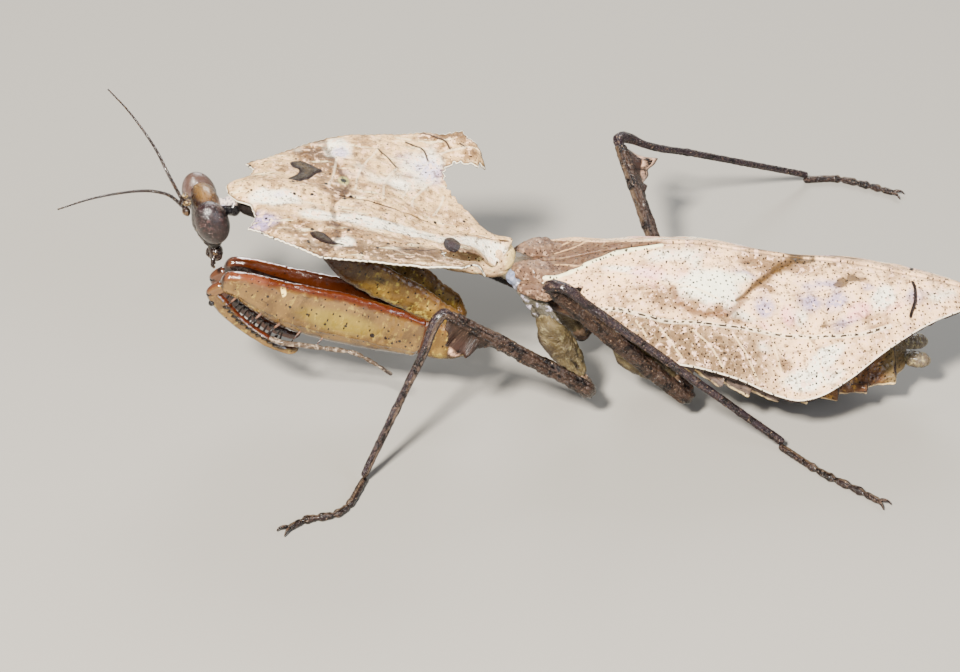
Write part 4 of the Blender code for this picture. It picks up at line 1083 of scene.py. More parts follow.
head_finish = cuticle("head capsule cuticle", "#422E1D", """
    #362316 blotch 0.45 0.6 0.8; #6E532F mottle 0.53 0.64 0.5; #1D100C level 0.1 0.75 1.0;
    #160C09 along 0.6 0.34 1.0; #816032 along 0.9 1.0 0.5; #0E0705 along 0.16 0.02 0.8;
    #F7D683 grain 0.62 0.68 0.7; #110805 pores 0.14 0.08 1.0""",
    roughness=0.3, blotch=1.4, mottle=0.45, grain=0.16, pores=0.42, spread=1.0, gloss=0.6, depth=0.025)
skin_piece("head_skin", [sweep(head_path, head_sizes, HEAD_AHEAD, 96, 0.07, head_relief)], head_finish,
           ["head"])

# %% [markdown]
# ### Compound eyes
# Each eye is thousands of facets in a tight hexagonal net.  The third tree starts from a ball
# of triangles, takes its dual, a net of hexagons, and raises every one a little.  Real facets
# are about 0.04 mm wide; these are about three times as coarse so that they show.

# %% The facet tree and the eyes
facet_tree, node, given, result = new_tree("facets of an eye", {
    "Radii": "NodeSocketVector", "Net": "NodeSocketInt", "Raise": "NodeSocketFloat",
    "Finish": "NodeSocketMaterial"})
ball = node("GeometryNodeMeshIcoSphere", {"Radius": 1.0, "Subdivisions": given["Net"]})
stretched = node("GeometryNodeTransform", {"Geometry": ball.outputs["Mesh"], "Scale": given["Radii"]})
net = node("GeometryNodeDualMesh", {"Mesh": stretched.outputs[0]})
raised = node("GeometryNodeExtrudeMesh", {"Mesh": net.outputs[0], "Offset Scale": given["Raise"]},
              mode="FACES")
raised.inputs["Individual"].default_value = True
drawn = node("GeometryNodeScaleElements", {
    "Geometry": raised.outputs["Mesh"], "Selection": raised.outputs["Top"], "Scale": FACET_TOP})
end_tree(facet_tree, drawn.outputs[0], given, result)

# The pale grain specks on the near eye are painted glints.
near_eye_finish = cuticle("glossy pitted eye", "#241210", """
    #3C2826 blotch 0.5 0.62 0.8; #080304 mottle 0.55 0.45 0.95; #060303 streak 0.46 0.4 0.9;
    #E0C3BE grain 0.62 0.67 0.35""",
    roughness=0.12, blotch=1.1, mottle=0.36, grain=0.16, depth=0.03, gloss=1.4)
far_eye_finish = cuticle("glossy smooth eye", "#46352E", """
    #5A4A47 blotch 0.48 0.6 0.8; #2C1C19 mottle 0.47 0.34 0.65""",
    roughness=0.16, blotch=1.5, mottle=0.6, grain=0.08, depth=0.003, gloss=1.0)
EYE_FINISHES = {"left": near_eye_finish, "right": far_eye_finish}
cup_finish = cuticle("rim around the eye", "#362318", """
    #785837 along 0.88 0.95 0.7; #160C09 mottle 0.5 0.38 0.8""",
    roughness=0.3, mottle=0.3, gloss=0.4)
EYE_UP = HEAD_UP * math.cos(EYE_TILT) + HEAD_AHEAD * math.sin(EYE_TILT)
EYE_AHEAD = HEAD_AHEAD * math.cos(EYE_TILT) - HEAD_UP * math.sin(EYE_TILT)
EYE_TURN = np.column_stack([EYE_AHEAD, HEAD_SIDE, EYE_UP])
for side_name, side in SIDES.items():
    centre = head_point(0.0, side * EYE_OFFSET, 0.0)
    facets = grow(facet_tree, host_mesh("eye", [(0, 0, 0)]), {
        "Radii": tuple(EYE_RADII), "Net": FACET_NET, "Raise": FACET_RAISE, "Finish": EYE_FINISHES[side_name]})
    points, faces, measures = grown_skin(facets)
    points = centre + points @ EYE_TURN.T
    if np.linalg.det(EYE_TURN) < 0:
        faces = [face[::-1] for face in faces]
    make_piece("eye_" + side_name + "_facets", points, faces, EYE_FINISHES[side_name],
               ["eye_" + side_name], measures)
    cup_radii = EYE_RADII + CUP_MARGIN
    reaches = np.linspace(-0.97, -0.12, 12)
    cup_path = [centre + HEAD_SIDE * side * reach * cup_radii[1] for reach in reaches]
    cup_sizes = [cup_radii[[2, 0, 0]] * math.sqrt(1 - r * r) for r in reaches]
    skin_piece("eye_cup_" + side_name, [sweep(cup_path, cup_sizes, EYE_AHEAD, 72, 0.06, blur=0.06)],
               cup_finish)

# %% [markdown]
# ### Small parts of the head
# Three simple eyes stand between the feelers.  The jaws are one dark sweep with a slit between
# its halves, and two pairs of jointed palps hang beside it.

# %% Simple eyes, feeler sockets and mouth
MOUTH_RINGS = [
    (-6.0, 0.4, 0.35, 0.35), (-5.5, 0.75, 0.6, 0.55), (-4.9, 0.95, 0.75, 0.75), (-4.2, 0.8, 0.6, 0.65)]
PALPS = [(0.55, 0.55, 0.95), (0.35, 0.25, 0.3)]
OCELLI = [(1.75, 0.0, 1.0, 0.0), (1.55, -0.62, 1.5, 0.4), (1.55, 0.62, 1.5, 0.4)]


def dome(centre, aim, radius, height):
    """A small rounded knob that stands on a surface."""
    aim = unit(aim)
    path = [centre - aim * radius, centre, centre + aim * height]
    side = HEAD_SIDE if abs(aim @ HEAD_SIDE) < 0.9 else HEAD_UP
    return sweep(path, even([radius] * 3), side, 24, radius / 10, blur=0.01)


# The pale grain specks on this dark horn of jaws and feelers are painted glints.
horn_finish = cuticle("dark horn of jaws and feelers", "#150B08", """
    #342216 mottle 0.5 0.62 0.8; #5F4A30 blotch 0.58 0.66 0.6; #E5CAA4 grain 0.64 0.7 0.7""",
    roughness=0.2, blotch=0.9, mottle=0.3, gloss=1.2, depth=0.02)
ocellus_finish = cuticle("glassy simple eye", "#34231B", "#D6B879 mottle 0.45 0.6 0.6",
                         roughness=0.12, mottle=0.3, gloss=1.0)
ocelli = [dome(head_point(ahead, side, up), HEAD_AHEAD + HEAD_UP * tilt, 0.3, 0.28)
          for ahead, side, up, tilt in OCELLI]
skin_piece("simple_eyes", ocelli, ocellus_finish)
sockets = []
for side in SIDES.values():
    base = head_point(1.55, side * 0.66, 0.72)
    aim = unit(HEAD_AHEAD + HEAD_SIDE * side * 0.15)
    sockets.append(sweep([base, base + aim * 0.4, base + aim * 0.75], even((0.62, 0.55, 0.46)), HEAD_UP,
                         32, 0.05, blur=0.05))
skin_piece("feeler_sockets", sockets, head_finish)
jaw_path = [head_point(0.0, 0.0, height) for height, _, _, _ in MOUTH_RINGS]


def jaw_relief(s, angle, skin, length):
    halves = bell(np.cos(angle), 0.08) * (np.sin(angle) > 0)
    return -0.14 * halves - 0.12 * bell(s - 1.0, 0.07) + 0.05 * rough(skin, 0.3, 3)


def palp_relief(s, angle, skin, length):
    return -0.06 * bell((s / length * 4) % 1.0 - 0.5, 0.09)


mouth = [sweep(jaw_path, [ring[1:] for ring in MOUTH_RINGS], HEAD_AHEAD, 48, 0.06, jaw_relief)]
for side in SIDES.values():
    for ahead, start, end in PALPS:
        palp = [head_point(0.1, side * start, -4.7), head_point(ahead, side * end, -5.2),
                head_point(ahead + 0.15, side * (end + 0.05), -5.7), head_point(ahead, side * end, -6.1)]
        mouth.append(sweep(palp, even((0.16, 0.2, 0.19, 0.12)), HEAD_SIDE, 20, 0.05, palp_relief,
                           blur=0.2))
skin_piece("mouth_skin", mouth, horn_finish, ["mouthparts"])

# %% [markdown]
# ### Feelers
# The bead tree strings short segments along each feeler, thinner and thinner to the tip.

# %% Feelers
ANTENNA_BASE = (1.82, 0.62, 0.75)
FEELER_GIRTHS = (0.2, 0.08)
FEELER_BEAD = 0.42
ANTENNAE = {"left": [(-28.6, -1.5, 22.9), (-29.7, -2.0, 23.6), (-31.1, -3.0, 24.3), (-32.8, -4.0, 24.7),
                     (-35.4, -5.5, 25.0), (-37.8, -7.0, 25.0)],
            "right": [(-28.7, 1.0, 23.5), (-29.9, 2.9, 25.0), (-31.5, 5.0, 26.4), (-32.9, 6.6, 27.4),
                      (-34.3, 8.0, 28.2)]}
for side_name, side in SIDES.items():
    ahead, aside, up = ANTENNA_BASE
    path = [head_point(ahead, side * aside, up), *ANTENNAE[side_name]]
    skin_piece("feeler_" + side_name, [beads(path, *FEELER_GIRTHS, FEELER_BEAD, horn_finish)], horn_finish,
               ["antenna_" + side_name])

# %% [markdown]
# ## Middle body, hind body and abdomen
# The trunk behind the shield is one skin over both of its solids.  The abdomen is broad and
# flat, of ten rings that overlap like roof tiles; each ring ends in a pale ragged edge and a
# small lobe on the side.

# %% Trunk
MESOTHORAX = [
    (1.2, 1.1, 14.7, 1.2), (3.35, 1.5, 14.0, 1.5), (4.6, 2.0, 13.1, 1.8), (6.5, 2.6, 12.3, 2.2),
    (9.0, 3.0, 11.4, 2.5)]
METATHORAX = [(9.3, 3.1, 11.2, 2.4), (11.5, 3.2, 10.6, 2.6), (14.0, 3.0, 9.9, 2.7), (15.6, 2.9, 9.5, 2.6)]
ABDOMEN = [
    (15.9, 3.0, 9.5, 2.7), (18.0, 4.8, 8.8, 3.0), (20.5, 6.4, 7.9, 3.3), (24.0, 7.2, 6.7, 3.5),
    (27.5, 7.2, 5.7, 3.4), (30.5, 6.6, 5.1, 3.1), (33.5, 5.6, 4.7, 2.7), (36.5, 4.5, 4.6, 2.2),
    (38.8, 3.2, 4.7, 1.7), (40.3, 2.1, 4.8, 1.1)]


def body_sweep(table, sides, step, relief, lead=0.0):
    path = [(x, 0.0, middle) for x, _, middle, _ in table]
    path[0] = (path[0][0] - lead, 0.0, path[0][2])
    return sweep(path, [(half, depth, depth) for _, half, _, depth in table], UP, sides, step, relief)


def trunk_relief(s, angle, skin, length):
    plates = -0.14 * bell(s - 5.7, 0.12) - 0.1 * bell(np.cos(angle * 2), 0.1)
    return plates + 0.1 * rough(skin, 1.3, 5) + 0.04 * rough(skin, 0.3, 6)


belly_finish = cuticle("brown body cuticle", "#3D281D", """
    #7D6544 mottle 0.52 0.64 0.75; #1F110E blotch 0.5 0.38 0.75; #6E6B5A along 0.22 0.06 0.75;
    #140A07 pores 0.12 0.08 0.8; #2E2016 level 0.2 0.9 0.4""",
    roughness=0.42, mottle=0.6, spread=1.0, gloss=0.2)
skin_piece("trunk_skin", [body_sweep(MESOTHORAX + METATHORAX[1:], 64, 0.14, trunk_relief)], belly_finish,
           ["mesothorax", "metathorax"])

# %% [markdown]
# ### Shoulders
# Where the wings hinge, the back swells into two humps and a small dotted scale sits over each
# wing's root.  A pale plate, like a leaf stalk, runs down from there to the middle leg.

# %% Shoulders and side plates
shoulder_finish = cuticle("dotted scales at the wing roots", "#745A45", """
    #523A2D blotch 0.47 0.57 0.7; #C4A284 mottle 0.54 0.61 0.5; #362118 streak 0.45 0.35 0.8;
    #0E0605 pores 0.16 0.11 1.0""",
    roughness=0.4, blotch=1.6, mottle=0.6, pores=0.46, spread=0.9, depth=0.08, gloss=0.15)
stalk_finish = cuticle("pale plate on the flank", "#5B574C", """
    #3B362B blotch 0.46 0.58 0.8; #BAB3C4 mottle 0.54 0.62 0.7; #1C1712 streak 0.46 0.36 1.0;
    #818DAB along 0.3 0.05 0.6""",
    roughness=0.3, mottle=0.6, gloss=0.4, depth=0.05)
HUMPS = [
    ((2.9, 1.2, 14.5), 0.7, 0.7), ((4.0, 1.5, 14.6), 1.2, 0.95), ((5.4, 1.9, 14.55), 1.45, 1.0),
    ((6.8, 2.3, 14.3), 1.3, 0.85), ((8.2, 2.6, 14.0), 0.9, 0.6)]
ROOT_SCALE = [
    ((3.6, 2.6, 13.6), 0.6, 0.5), ((4.6, 3.3, 13.9), 1.0, 0.75), ((5.8, 3.8, 13.9), 1.05, 0.7),
    ((7.0, 4.2, 13.7), 0.75, 0.5)]
STALK = [
    ((2.6, 1.3, 14.4), 0.6, 0.8), ((3.9, 2.1, 13.6), 0.62, 0.9), ((5.2, 2.9, 12.0), 0.6, 1.0),
    ((6.3, 3.5, 10.4), 0.62, 1.1), ((7.0, 3.75, 9.0), 0.6, 1.0)]


def shoulder_relief(s, angle, skin, length):
    return 0.07 * np.sin(angle * 6 + s) + 0.13 * rough(skin, 0.8, 5) + 0.05 * rough(skin, 0.25, 6)


for side_name, side in SIDES.items():
    bodies = [sweep(*laid_out(table, side), UP, 48, 0.1, shoulder_relief) for table in (HUMPS, ROOT_SCALE)]
    skin_piece("shoulder_" + side_name, bodies, shoulder_finish)
    plate = sweep(*laid_out(STALK, side), UP, 44, 0.1, shoulder_relief)
    skin_piece("side_plate_" + side_name, [plate], stalk_finish)

# %% [markdown]
# ### Abdomen
# Every ring thickens towards its rear edge and drops sharply to the next, like a tile.  Extra
# measures on the points say where in its ring a point is and how near the side margin.

# %% Abdomen
RING_PITCH = 2.75


def abdomen_relief(s, angle, skin, length):
    part = (s / RING_PITCH) % 1.0
    tile = 0.3 * part ** 2 * np.clip((1.0 - part) / 0.06, 0, 1)
    flank = bell(np.sin(angle) + 0.22, 0.3)
    lobe = (0.45 + 0.55 * part) * flank * np.clip((1.0 - part) / 0.08, 0, 1)
    ragged = 0.16 * np.sin(angle * 17 + s) * flank * part + 0.1 * noise(skin, 0.5, 9) * part
    ribs = 0.04 * np.sin(angle * 22) * bell(np.sin(angle), 0.8)
    bumps = 0.08 * rough(skin, 0.9, 5) + 0.04 * rough(skin, 0.25, 2)
    return tile + 1.15 * lobe + ragged + ribs * part + bumps


abdomen = body_sweep(ABDOMEN, 120, 0.11, abdomen_relief, lead=0.8)
ring_part = (abdomen[2]["skin"][:, 0] / RING_PITCH) % 1.0
abdomen[2]["edge"] = ring_part + 0.1 * noise(abdomen[0], 0.8, 4)
abdomen[2]["grey"] = np.clip((0.62 - abdomen[2]["along"]) / 0.12, 0, 1)
abdomen[2]["rim"] = np.abs(abdomen[2]["level"] + 0.32) + 0.04 * noise(abdomen[0], 0.6, 7)
abdomen_finish = cuticle("overlapping belly rings", "#634021", """
    #AE8035 mottle 0.53 0.62 0.7; #3F2416 blotch 0.5 0.38 0.7; #625550 grey 0.1 0.9 0.85;
    #261915 streak 0.46 0.36 0.7; #6D5B36 along 0.88 0.94 0.8; #362A19 along 0.945 0.965 0.6;
    #1D0E0A edge 0.88 0.95 1.0; #160C0A edge 0.06 0.0 0.8; #F7D699 rim 0.085 0.03 0.9;
    #1A0F0B pores 0.12 0.08 1.0""",
    roughness=0.34, mottle=0.6, pores=0.8, spread=1.0, gloss=0.3, depth=0.06)
skin_piece("abdomen_skin", [abdomen], abdomen_finish, ["abdomen"])

# %% [markdown]
# ### Cerci
# Two short ringed feelers of the rear end stick out from below the wing tips.

# %% Cerci
cercus_finish = cuticle("olive ringed cercus", "#554939", """
    #3E3422 edge 0.3 0.1 0.7; #AD9D6A mottle 0.52 0.62 0.6; #291F13 level -0.1 -0.8 0.8""",
    roughness=0.28, mottle=0.4, gloss=0.5)
CERCUS_RINGS = 5.2
CERCUS = [
    ((39.8, 1.1, 4.7), 0.55, 0.55), ((41.0, 1.5, 4.7), 0.85, 0.75), ((42.0, 1.6, 4.6), 0.72, 0.66),
    ((42.5, 1.6, 4.5), 0.3, 0.3)]


def cercus_relief(s, angle, skin, length):
    return 0.05 * np.abs(np.sin(s * CERCUS_RINGS)) + 0.03 * rough(skin, 0.2, 3)


for side_name, side in SIDES.items():
    tail = sweep(*laid_out(CERCUS, side), UP, 36, 0.06, cercus_relief)
    tail[2]["edge"] = np.abs(np.sin(tail[2]["skin"][:, 0] * CERCUS_RINGS))
    skin_piece("cercus_skin_" + side_name, [tail], cercus_finish, ["cercus_" + side_name])

# %% [markdown]
# ## Wing cases
# The front wings are leathery and lie over the back like a roof: a flat strip along the middle,
# a fold, and a slope that hangs over the flank.  Each is filled on the flat, with x along the
# body and the second number across it, and bent over the back afterwards.

# %% Wing shape
TEGMEN_FOLD = [
    (4.6, 2.3, 14.75), (6.6, 3.1, 14.7), (8.9, 2.4, 15.1), (11.0, 1.45, 15.6), (15.5, 0.4, 16.4),
    (19.5, 0.3, 16.6), (24.2, 0.3, 15.85), (28.8, 0.3, 15.05), (34.5, 0.3, 14.4), (39.2, 0.3, 13.3),
    (44.5, 0.3, 11.9), (47.4, 0.3, 10.6)]
TEGMEN_EDGE = [
    (4.6, -2.9, 14.5), (6.6, -4.0, 14.3), (9.6, -5.6, 13.3), (11.0, -6.2, 12.3), (12.5, -6.6, 11.7),
    (14.2, -7.8, 11.1), (17.3, -9.0, 9.4), (20.3, -9.2, 8.7), (24.0, -9.5, 7.6), (27.3, -9.8, 6.1),
    (29.6, -9.8, 5.5), (31.5, -9.5, 5.8), (34.3, -8.5, 7.1), (37.0, -7.0, 8.6), (39.0, -6.0, 9.6),
    (41.9, -4.1, 10.3), (44.6, -2.5, 10.5), (47.4, -1.0, 10.5)]
TEGMEN_BULGE = 0.9
BULGE_RUN = 11.0
TEGMEN_END = 46.9
TEGMEN_THICKNESS = 0.34
CREST_Y = -GAP / 2
fold_place = smooth_through(TEGMEN_FOLD)
edge_place = smooth_through(TEGMEN_EDGE)


def wing_width(x):
    """The distance over the left wing case from the midline to its hanging edge."""
    flat, height = fold_place(x).T
    low_y, low_z = edge_place(x).T
    return flat + np.hypot(low_y - CREST_Y + flat, low_z - height)


def wing_surface(x, across, drop=0.0):
    """Points of the left wing case's middle surface: flat on the back, then a sloping roof."""
    flat, height = fold_place(x).T
    low_y, low_z = edge_place(x).T
    slope_y = low_y - CREST_Y + flat
    slope_z = low_z - height
    run = np.maximum(np.hypot(slope_y, slope_z), 0.05)
    share = np.maximum(across - flat, 0.0) / run
    bulge = TEGMEN_BULGE * np.sin(math.pi * np.minimum(share, 1.0)) * np.minimum(run / BULGE_RUN, 1.0)
    out = np.where(across > flat, bulge - drop, 0.0)
    top = np.column_stack([x, CREST_Y - across, height - drop])
    roof = np.column_stack([x, CREST_Y - flat + slope_y * share + slope_z / run * out,
                            height + slope_z * share - slope_y / run * out])
    return np.where((across <= flat)[:, None], top, roof)


def on_wing(lines):
    """Lines of (x, share of the width), as lines in millimetres on the flat wing."""
    out = []
    for line in lines:
        places = dense([(x, share * 10) for x, share in line], 1.0, closed=False)
        xs = places[:, 0]
        out.append(np.column_stack([xs, places[:, 1] / 10 * wing_width(xs)]))
    return out


# %% [markdown]
# ### Net of the wing
# A few strong veins run back from the shoulder, side veins leave them, and a fine net fills
# what lies between.  The strong ones follow the photograph, the fine net is a seeded Voronoi
# pattern, longer than it is wide.

# %% Wing veins and net
MAIN_VEIN = [
    (9.6, 0.93), (13.3, 0.76), (15.8, 0.7), (18.5, 0.66), (22.3, 0.63), (25.8, 0.59), (29.5, 0.56),
    (32.0, 0.58), (34.0, 0.63), (36.0, 0.69), (38.0, 0.73)]
SIDE_VEINS = [
    [(16.6, 0.75), (17.6, 0.83), (18.6, 0.93)], [(19.6, 0.71), (21.2, 0.8), (22.4, 0.94)],
    [(23.4, 0.68), (24.6, 0.79), (25.6, 0.94)], [(27.0, 0.62), (27.6, 0.76), (28.2, 0.93)],
    [(30.4, 0.58), (31.4, 0.74), (32.0, 0.93)], [(14.4, 0.8), (15.4, 0.9)],
    [(10.5, 0.42), (14.0, 0.36), (18.0, 0.36), (22.0, 0.44)]]
CLAVAL_VEINS = [
    [(7.0, 0.2), (10.0, 0.3), (13.4, 0.16)], [(6.4, 0.45), (10.6, 0.5), (15.6, 0.22)],
    [(7.6, 0.66), (11.4, 0.62), (16.2, 0.44)]]
CREASE = [(23.7, 0.41), (24.4, 0.36), (25.4, 0.26), (26.4, 0.18), (27.6, 0.09), (29.4, 0.01)]
BULGE_EDGE = [
    (18.5, 0.49), (19.8, 0.55), (21.4, 0.54), (23.1, 0.49), (25.1, 0.29), (26.0, 0.2), (25.0, 0.14),
    (22.0, 0.13), (19.4, 0.2), (18.0, 0.34)]
CRESCENT = [(40.3, 0.14), (40.5, 0.26), (40.5, 0.48), (40.0, 0.71)]


def net_distance(points, cell_x, cell_y, seed):
    """How far each flat point is from the borders of a seeded Voronoi net."""
    grid = points / (cell_x, cell_y)
    base = np.floor(grid).astype(int)
    near = np.full(len(points), 9.0)
    second = np.full(len(points), 9.0)
    for dx in (-1, 0, 1):
        for dy in (-1, 0, 1):
            cell = base + (dx, dy)
            mixed = (cell[:, 0] * 374761393 + cell[:, 1] * 668265263 + seed * 97) & 0xFFFFFFFF
            mixed = (mixed ^ mixed >> 13) * 1274126177 & 0xFFFFFFFF
            chance = np.column_stack([mixed & 0xFFFF, mixed >> 16 & 0xFFFF]) / 65535
            seat = cell + 0.5 + 0.72 * (chance - 0.5)
            away = np.hypot(*((grid - seat) * (1.0, cell_y / cell_x)).T)
            second = np.where(away < near, near, np.minimum(second, away))
            near = np.minimum(near, away)
    return (second - near) * cell_x / 2


WING_MESH = 0.155
NET_CELL = (1.5, 0.62)
NET_SEED = 5
xs = np.linspace(TEGMEN_FOLD[0][0], TEGMEN_END, 300)
edge_teeth = 0.1 * noise(np.column_stack([xs, xs * 0, xs * 0]), 0.5, 7)
hem_line = wing_width(xs) + edge_teeth
wing_outline = [(x, 0.0) for x in xs] + [*zip(xs[::-1], hem_line[::-1])]
wing_flat, wing_faces = leaf_grid(wing_outline, WING_MESH)
wx, wa = wing_flat.T
share = wa / wing_width(wx)
wing_spread = np.column_stack([wx, wa, np.zeros(len(wx))])
slanted = wing_flat @ np.array([[0.94, 0.34], [-0.34, 0.94]])
main_vein = line_distance(wing_flat, curved_lines(on_wing([MAIN_VEIN])))
side_vein = line_distance(wing_flat, curved_lines(on_wing(SIDE_VEINS)))
claval_vein = line_distance(wing_flat, on_wing(CLAVAL_VEINS))
# Along the crease the wing is painted brown with a darker core: partly the fold's own colour, partly painted
# shade in its trough.
fold_crease = line_distance(wing_flat, on_wing([CREASE])) / np.interp(wx, [23.5, 29.5], [0.28, 1.0])
crescent = line_distance(wing_flat, on_wing([CRESCENT]))
bulge_flat = on_wing([BULGE_EDGE + BULGE_EDGE[:1]])[0][:-1]
bulge = signed_distance(wing_flat, bulge_flat)
net = net_distance(slanted, *NET_CELL, NET_SEED)
flat_part = fold_place(wx)[:, 0]
# Near the fold crest of the near wing the surface is raised and painted pale: a painted highlight on the
# crest.
ridge = np.abs(wa - flat_part) + 5.0 * np.clip((wx - 17.0) / 2.0, 0, 1)
below_vein = share >= np.interp(wx, *np.array(MAIN_VEIN).T)
# At the very hanging edge the wing is painted near black: a painted shadow of the gap below it.
hanging = wing_width(wx) - wa
print("wing grid", len(wing_flat), "points")

# %% [markdown]
# ### Relief and colours of the wing
# The wing swells to a pale bulge, and a curved crease sets it off from the hump behind it.
# Patches of white, tan, gold, lilac and pink are placed as on the shield, here by x and by the
# share of the width.  The main vein is a pale ridge with a dashed dark line.  Light is painted in
# too: a highlight on the near wing's fold crest, shade below the bulge, shade in the crease over its
# own brown, and a shadow line along the hanging edge.

# %% Wing relief and colours
WING_HUMPS = [(30.5, 0.34, 4.2, 0.2, 0.55), (36.5, 0.3, 2.5, 0.2, 0.25), (24.8, 0.12, 1.8, 0.1, -0.2)]
WING_WHITE = [
    (21.2, 0.36, 2.6, 0.12, 1.5), (14.5, 0.3, 3.5, 0.06, 0.9), (28.5, 0.42, 2.2, 0.1, 0.6),
    (37.4, 0.35, 1.2, 0.15, 1.0), (30.0, 0.86, 1.6, 0.07, 1.3), (32.2, 0.72, 1.3, 0.06, 1.2),
    (26.5, 0.7, 1.5, 0.06, 0.5), (43.5, 0.4, 2.5, 0.3, 0.6), (17.5, 0.12, 3.0, 0.08, 0.8),
    (24.6, 0.52, 1.6, 0.05, 0.5), (33.4, 0.9, 1.2, 0.06, 0.6)]
WING_TAN = [
    (22.6, 0.53, 2.6, 0.05, 1.2), (17.0, 0.47, 3.0, 0.08, 0.8), (16.5, 0.82, 4.0, 0.16, 1.0),
    (22.5, 0.84, 4.0, 0.16, 0.9), (28.0, 0.08, 4.5, 0.08, 0.9), (38.0, 0.1, 3.0, 0.12, 0.6),
    (31.4, 0.8, 0.7, 0.05, 0.8), (28.2, 0.76, 0.7, 0.05, 0.8), (35.4, 0.75, 2.0, 0.2, 0.5),
    (12.0, 0.6, 3.0, 0.15, 0.5), (26.5, 0.27, 1.4, 0.05, 0.7)]
WING_GOLD = [
    (34.5, 0.16, 1.2, 0.045, 1.5), (33.3, 0.21, 0.7, 0.04, 1.0), (31.8, 0.5, 0.6, 0.035, 1.2),
    (30.6, 0.02, 3.0, 0.03, 1.0)]
WING_BLUE = [
    (26.3, 0.42, 1.0, 0.08, 1.1), (30.4, 0.33, 1.3, 0.08, 1.2), (33.4, 0.34, 1.2, 0.07, 1.1),
    (31.5, 0.2, 2.2, 0.05, 0.9), (36.0, 0.25, 1.2, 0.06, 0.8), (24.2, 0.2, 1.5, 0.05, 0.9),
    (34.0, 0.52, 1.4, 0.05, 0.8), (40.5, 0.4, 1.5, 0.2, 0.7)]
WING_PINK = [
    (28.4, 0.44, 1.0, 0.07, 1.0), (35.2, 0.45, 1.3, 0.08, 1.1), (26.4, 0.54, 0.8, 0.04, 0.8),
    (16.0, 0.3, 3.0, 0.1, 0.8), (38.6, 0.5, 1.2, 0.1, 0.8)]
flat_place = np.column_stack([wx, share])
white = patches(flat_place, WING_WHITE) + 0.25 * rough(wing_spread, 2.0, 3)
tan = patches(flat_place, WING_TAN) + 0.3 * rough(wing_spread, 2.4, 23)
gold = patches(flat_place, WING_GOLD) + 0.45 * rough(wing_spread, 0.5, 33)
blue = patches(flat_place, WING_BLUE) + 0.25 * rough(wing_spread, 1.5, 43)
pink = patches(flat_place, WING_PINK) + 0.25 * rough(wing_spread, 1.6, 53)
claval = np.clip((flat_part - wa) / 0.15, 0, 1) * np.clip((18.5 - wx) / 2.0, 0, 1)
root = np.clip((8.0 - wx) / 2.5, 0, 1)
wing_relief = (0.15 * bell(main_vein, 0.2) + 0.07 * bell(side_vein, 0.15) + 0.09 * bell(claval_vein, 0.15)
               + 0.016 * bell(net, 0.09) + 0.5 * np.clip(bulge / 1.6, 0, 1) ** 0.7
               + 0.3 * bell(ridge, 0.35) - 0.24 * bell(fold_crease, 0.3) - 0.12 * bell(crescent, 0.2)
               + 0.12 * rough(wing_spread, 2.2, 6) + 0.05 * rough(wing_spread * (0.4, 1, 1), 0.5, 8))
wing_relief += patches(flat_place, WING_HUMPS) * np.clip(fold_crease / 0.8, 0, 1)
wing_relief *= np.clip(hanging / 0.5, 0.2, 1) * np.clip(wa / 0.4, 0.0, 1)
wing_taper = 0.5 + 0.5 * np.clip(hanging / 0.8, 0, 1)
dashed = np.sin(wx * 7.0 + 2.0 * np.sin(wx)) + 0.8 * noise(wing_spread, 0.7, 91) > 0.0
# The band just outside the bulge, on its lower side, is painted brown as the bulge's shade.
wing_measures = both_faces({
    "main": main_vein, "dash": main_vein + 0.1 * dashed, "side": side_vein, "claval_vein": claval_vein,
    "crease": fold_crease, "crescent": crescent, "bulge": bulge + 0.35 * noise(wing_spread, 0.9, 77),
    "bulge_rim": np.abs(bulge + 0.25) + 3 * (share < 0.36), "net": net, "white": white, "tan": tan,
    "gold": gold, "blue": blue, "pink": pink, "claval": claval, "hem": hanging,
    "below": below_vein * np.clip((30.0 - wx) / 5.0, 0, 1), "root": root, "ridge": ridge},
    np.column_stack([slanted, slanted[:, 0] * 0]))
# The far wing keeps the raised crest but not its painted highlight.
far_measures = {**wing_measures, "ridge": wing_measures["ridge"] + 9}

# Coat ridge is a painted highlight on the near wing's fold crest.
# The brown band below the bulge is painted shade.
# The crease coats are partly the fold's own brown and partly painted shade.
# The near-black hem line at the wing's edge is painted shadow.
wing_finish = cuticle("leathery wing case", "#F6C997", """
    #896644 blotch 0.47 0.58 0.6; #715436 tan 0.2 0.85 0.9; #47301E tan 0.95 1.6 0.6;
    #6C553A below 0.2 1.0 0.7; #F7EED6 white 0.25 0.8 0.98; #998CB2 blue 0.2 1.0 0.8;
    #F7A5A9 pink 0.25 1.0 0.7; #F7CAAD mottle 0.53 0.59 0.75; #503B26 mottle 0.47 0.38 0.7;
    #472F1E streak 0.44 0.34 0.55; #412615 claval 0.2 1.0 0.92; #351E13 root 0.2 1.0 0.45;
    #F7D8A9 net 0.06 0.02 0.1; #563D1C crease 0.85 0.2 0.9; #37240E crease 0.28 0.05 0.65;
    #3E2C12 gold 0.45 1.0 0.9; #633F22 bulge_rim 0.45 0.1 0.7; #F7F4D5 bulge 0.45 1.6 0.95;
    #F7D5A2 side 0.14 0.05 0.55; #F2C38C claval_vein 0.17 0.05 0.45; #F7E5C3 main 0.26 0.12 0.5;
    #170A05 dash 0.13 0.06 1.0; #F7F0C1 ridge 0.3 0.1 0.9; #150905 crescent 0.22 0.12 1.0;
    #F7EED6 hem 0.32 0.18 0.75; #1D0E08 hem 0.15 0.08 1.0; #110805 pores 0.165 0.105 1.0;
    #0E0503 spots 0.08 0.05 1.0; #3C2C1F under 0.5 0.6 0.6""",
    roughness=0.42, blotch=2.8, mottle=0.7, pores=0.55, spots=1.5, depth=0.06, spread=0.85, gloss=0.05)
wing_middle = wing_surface(wx, wa)
wing_thickness = TEGMEN_THICKNESS * wing_taper
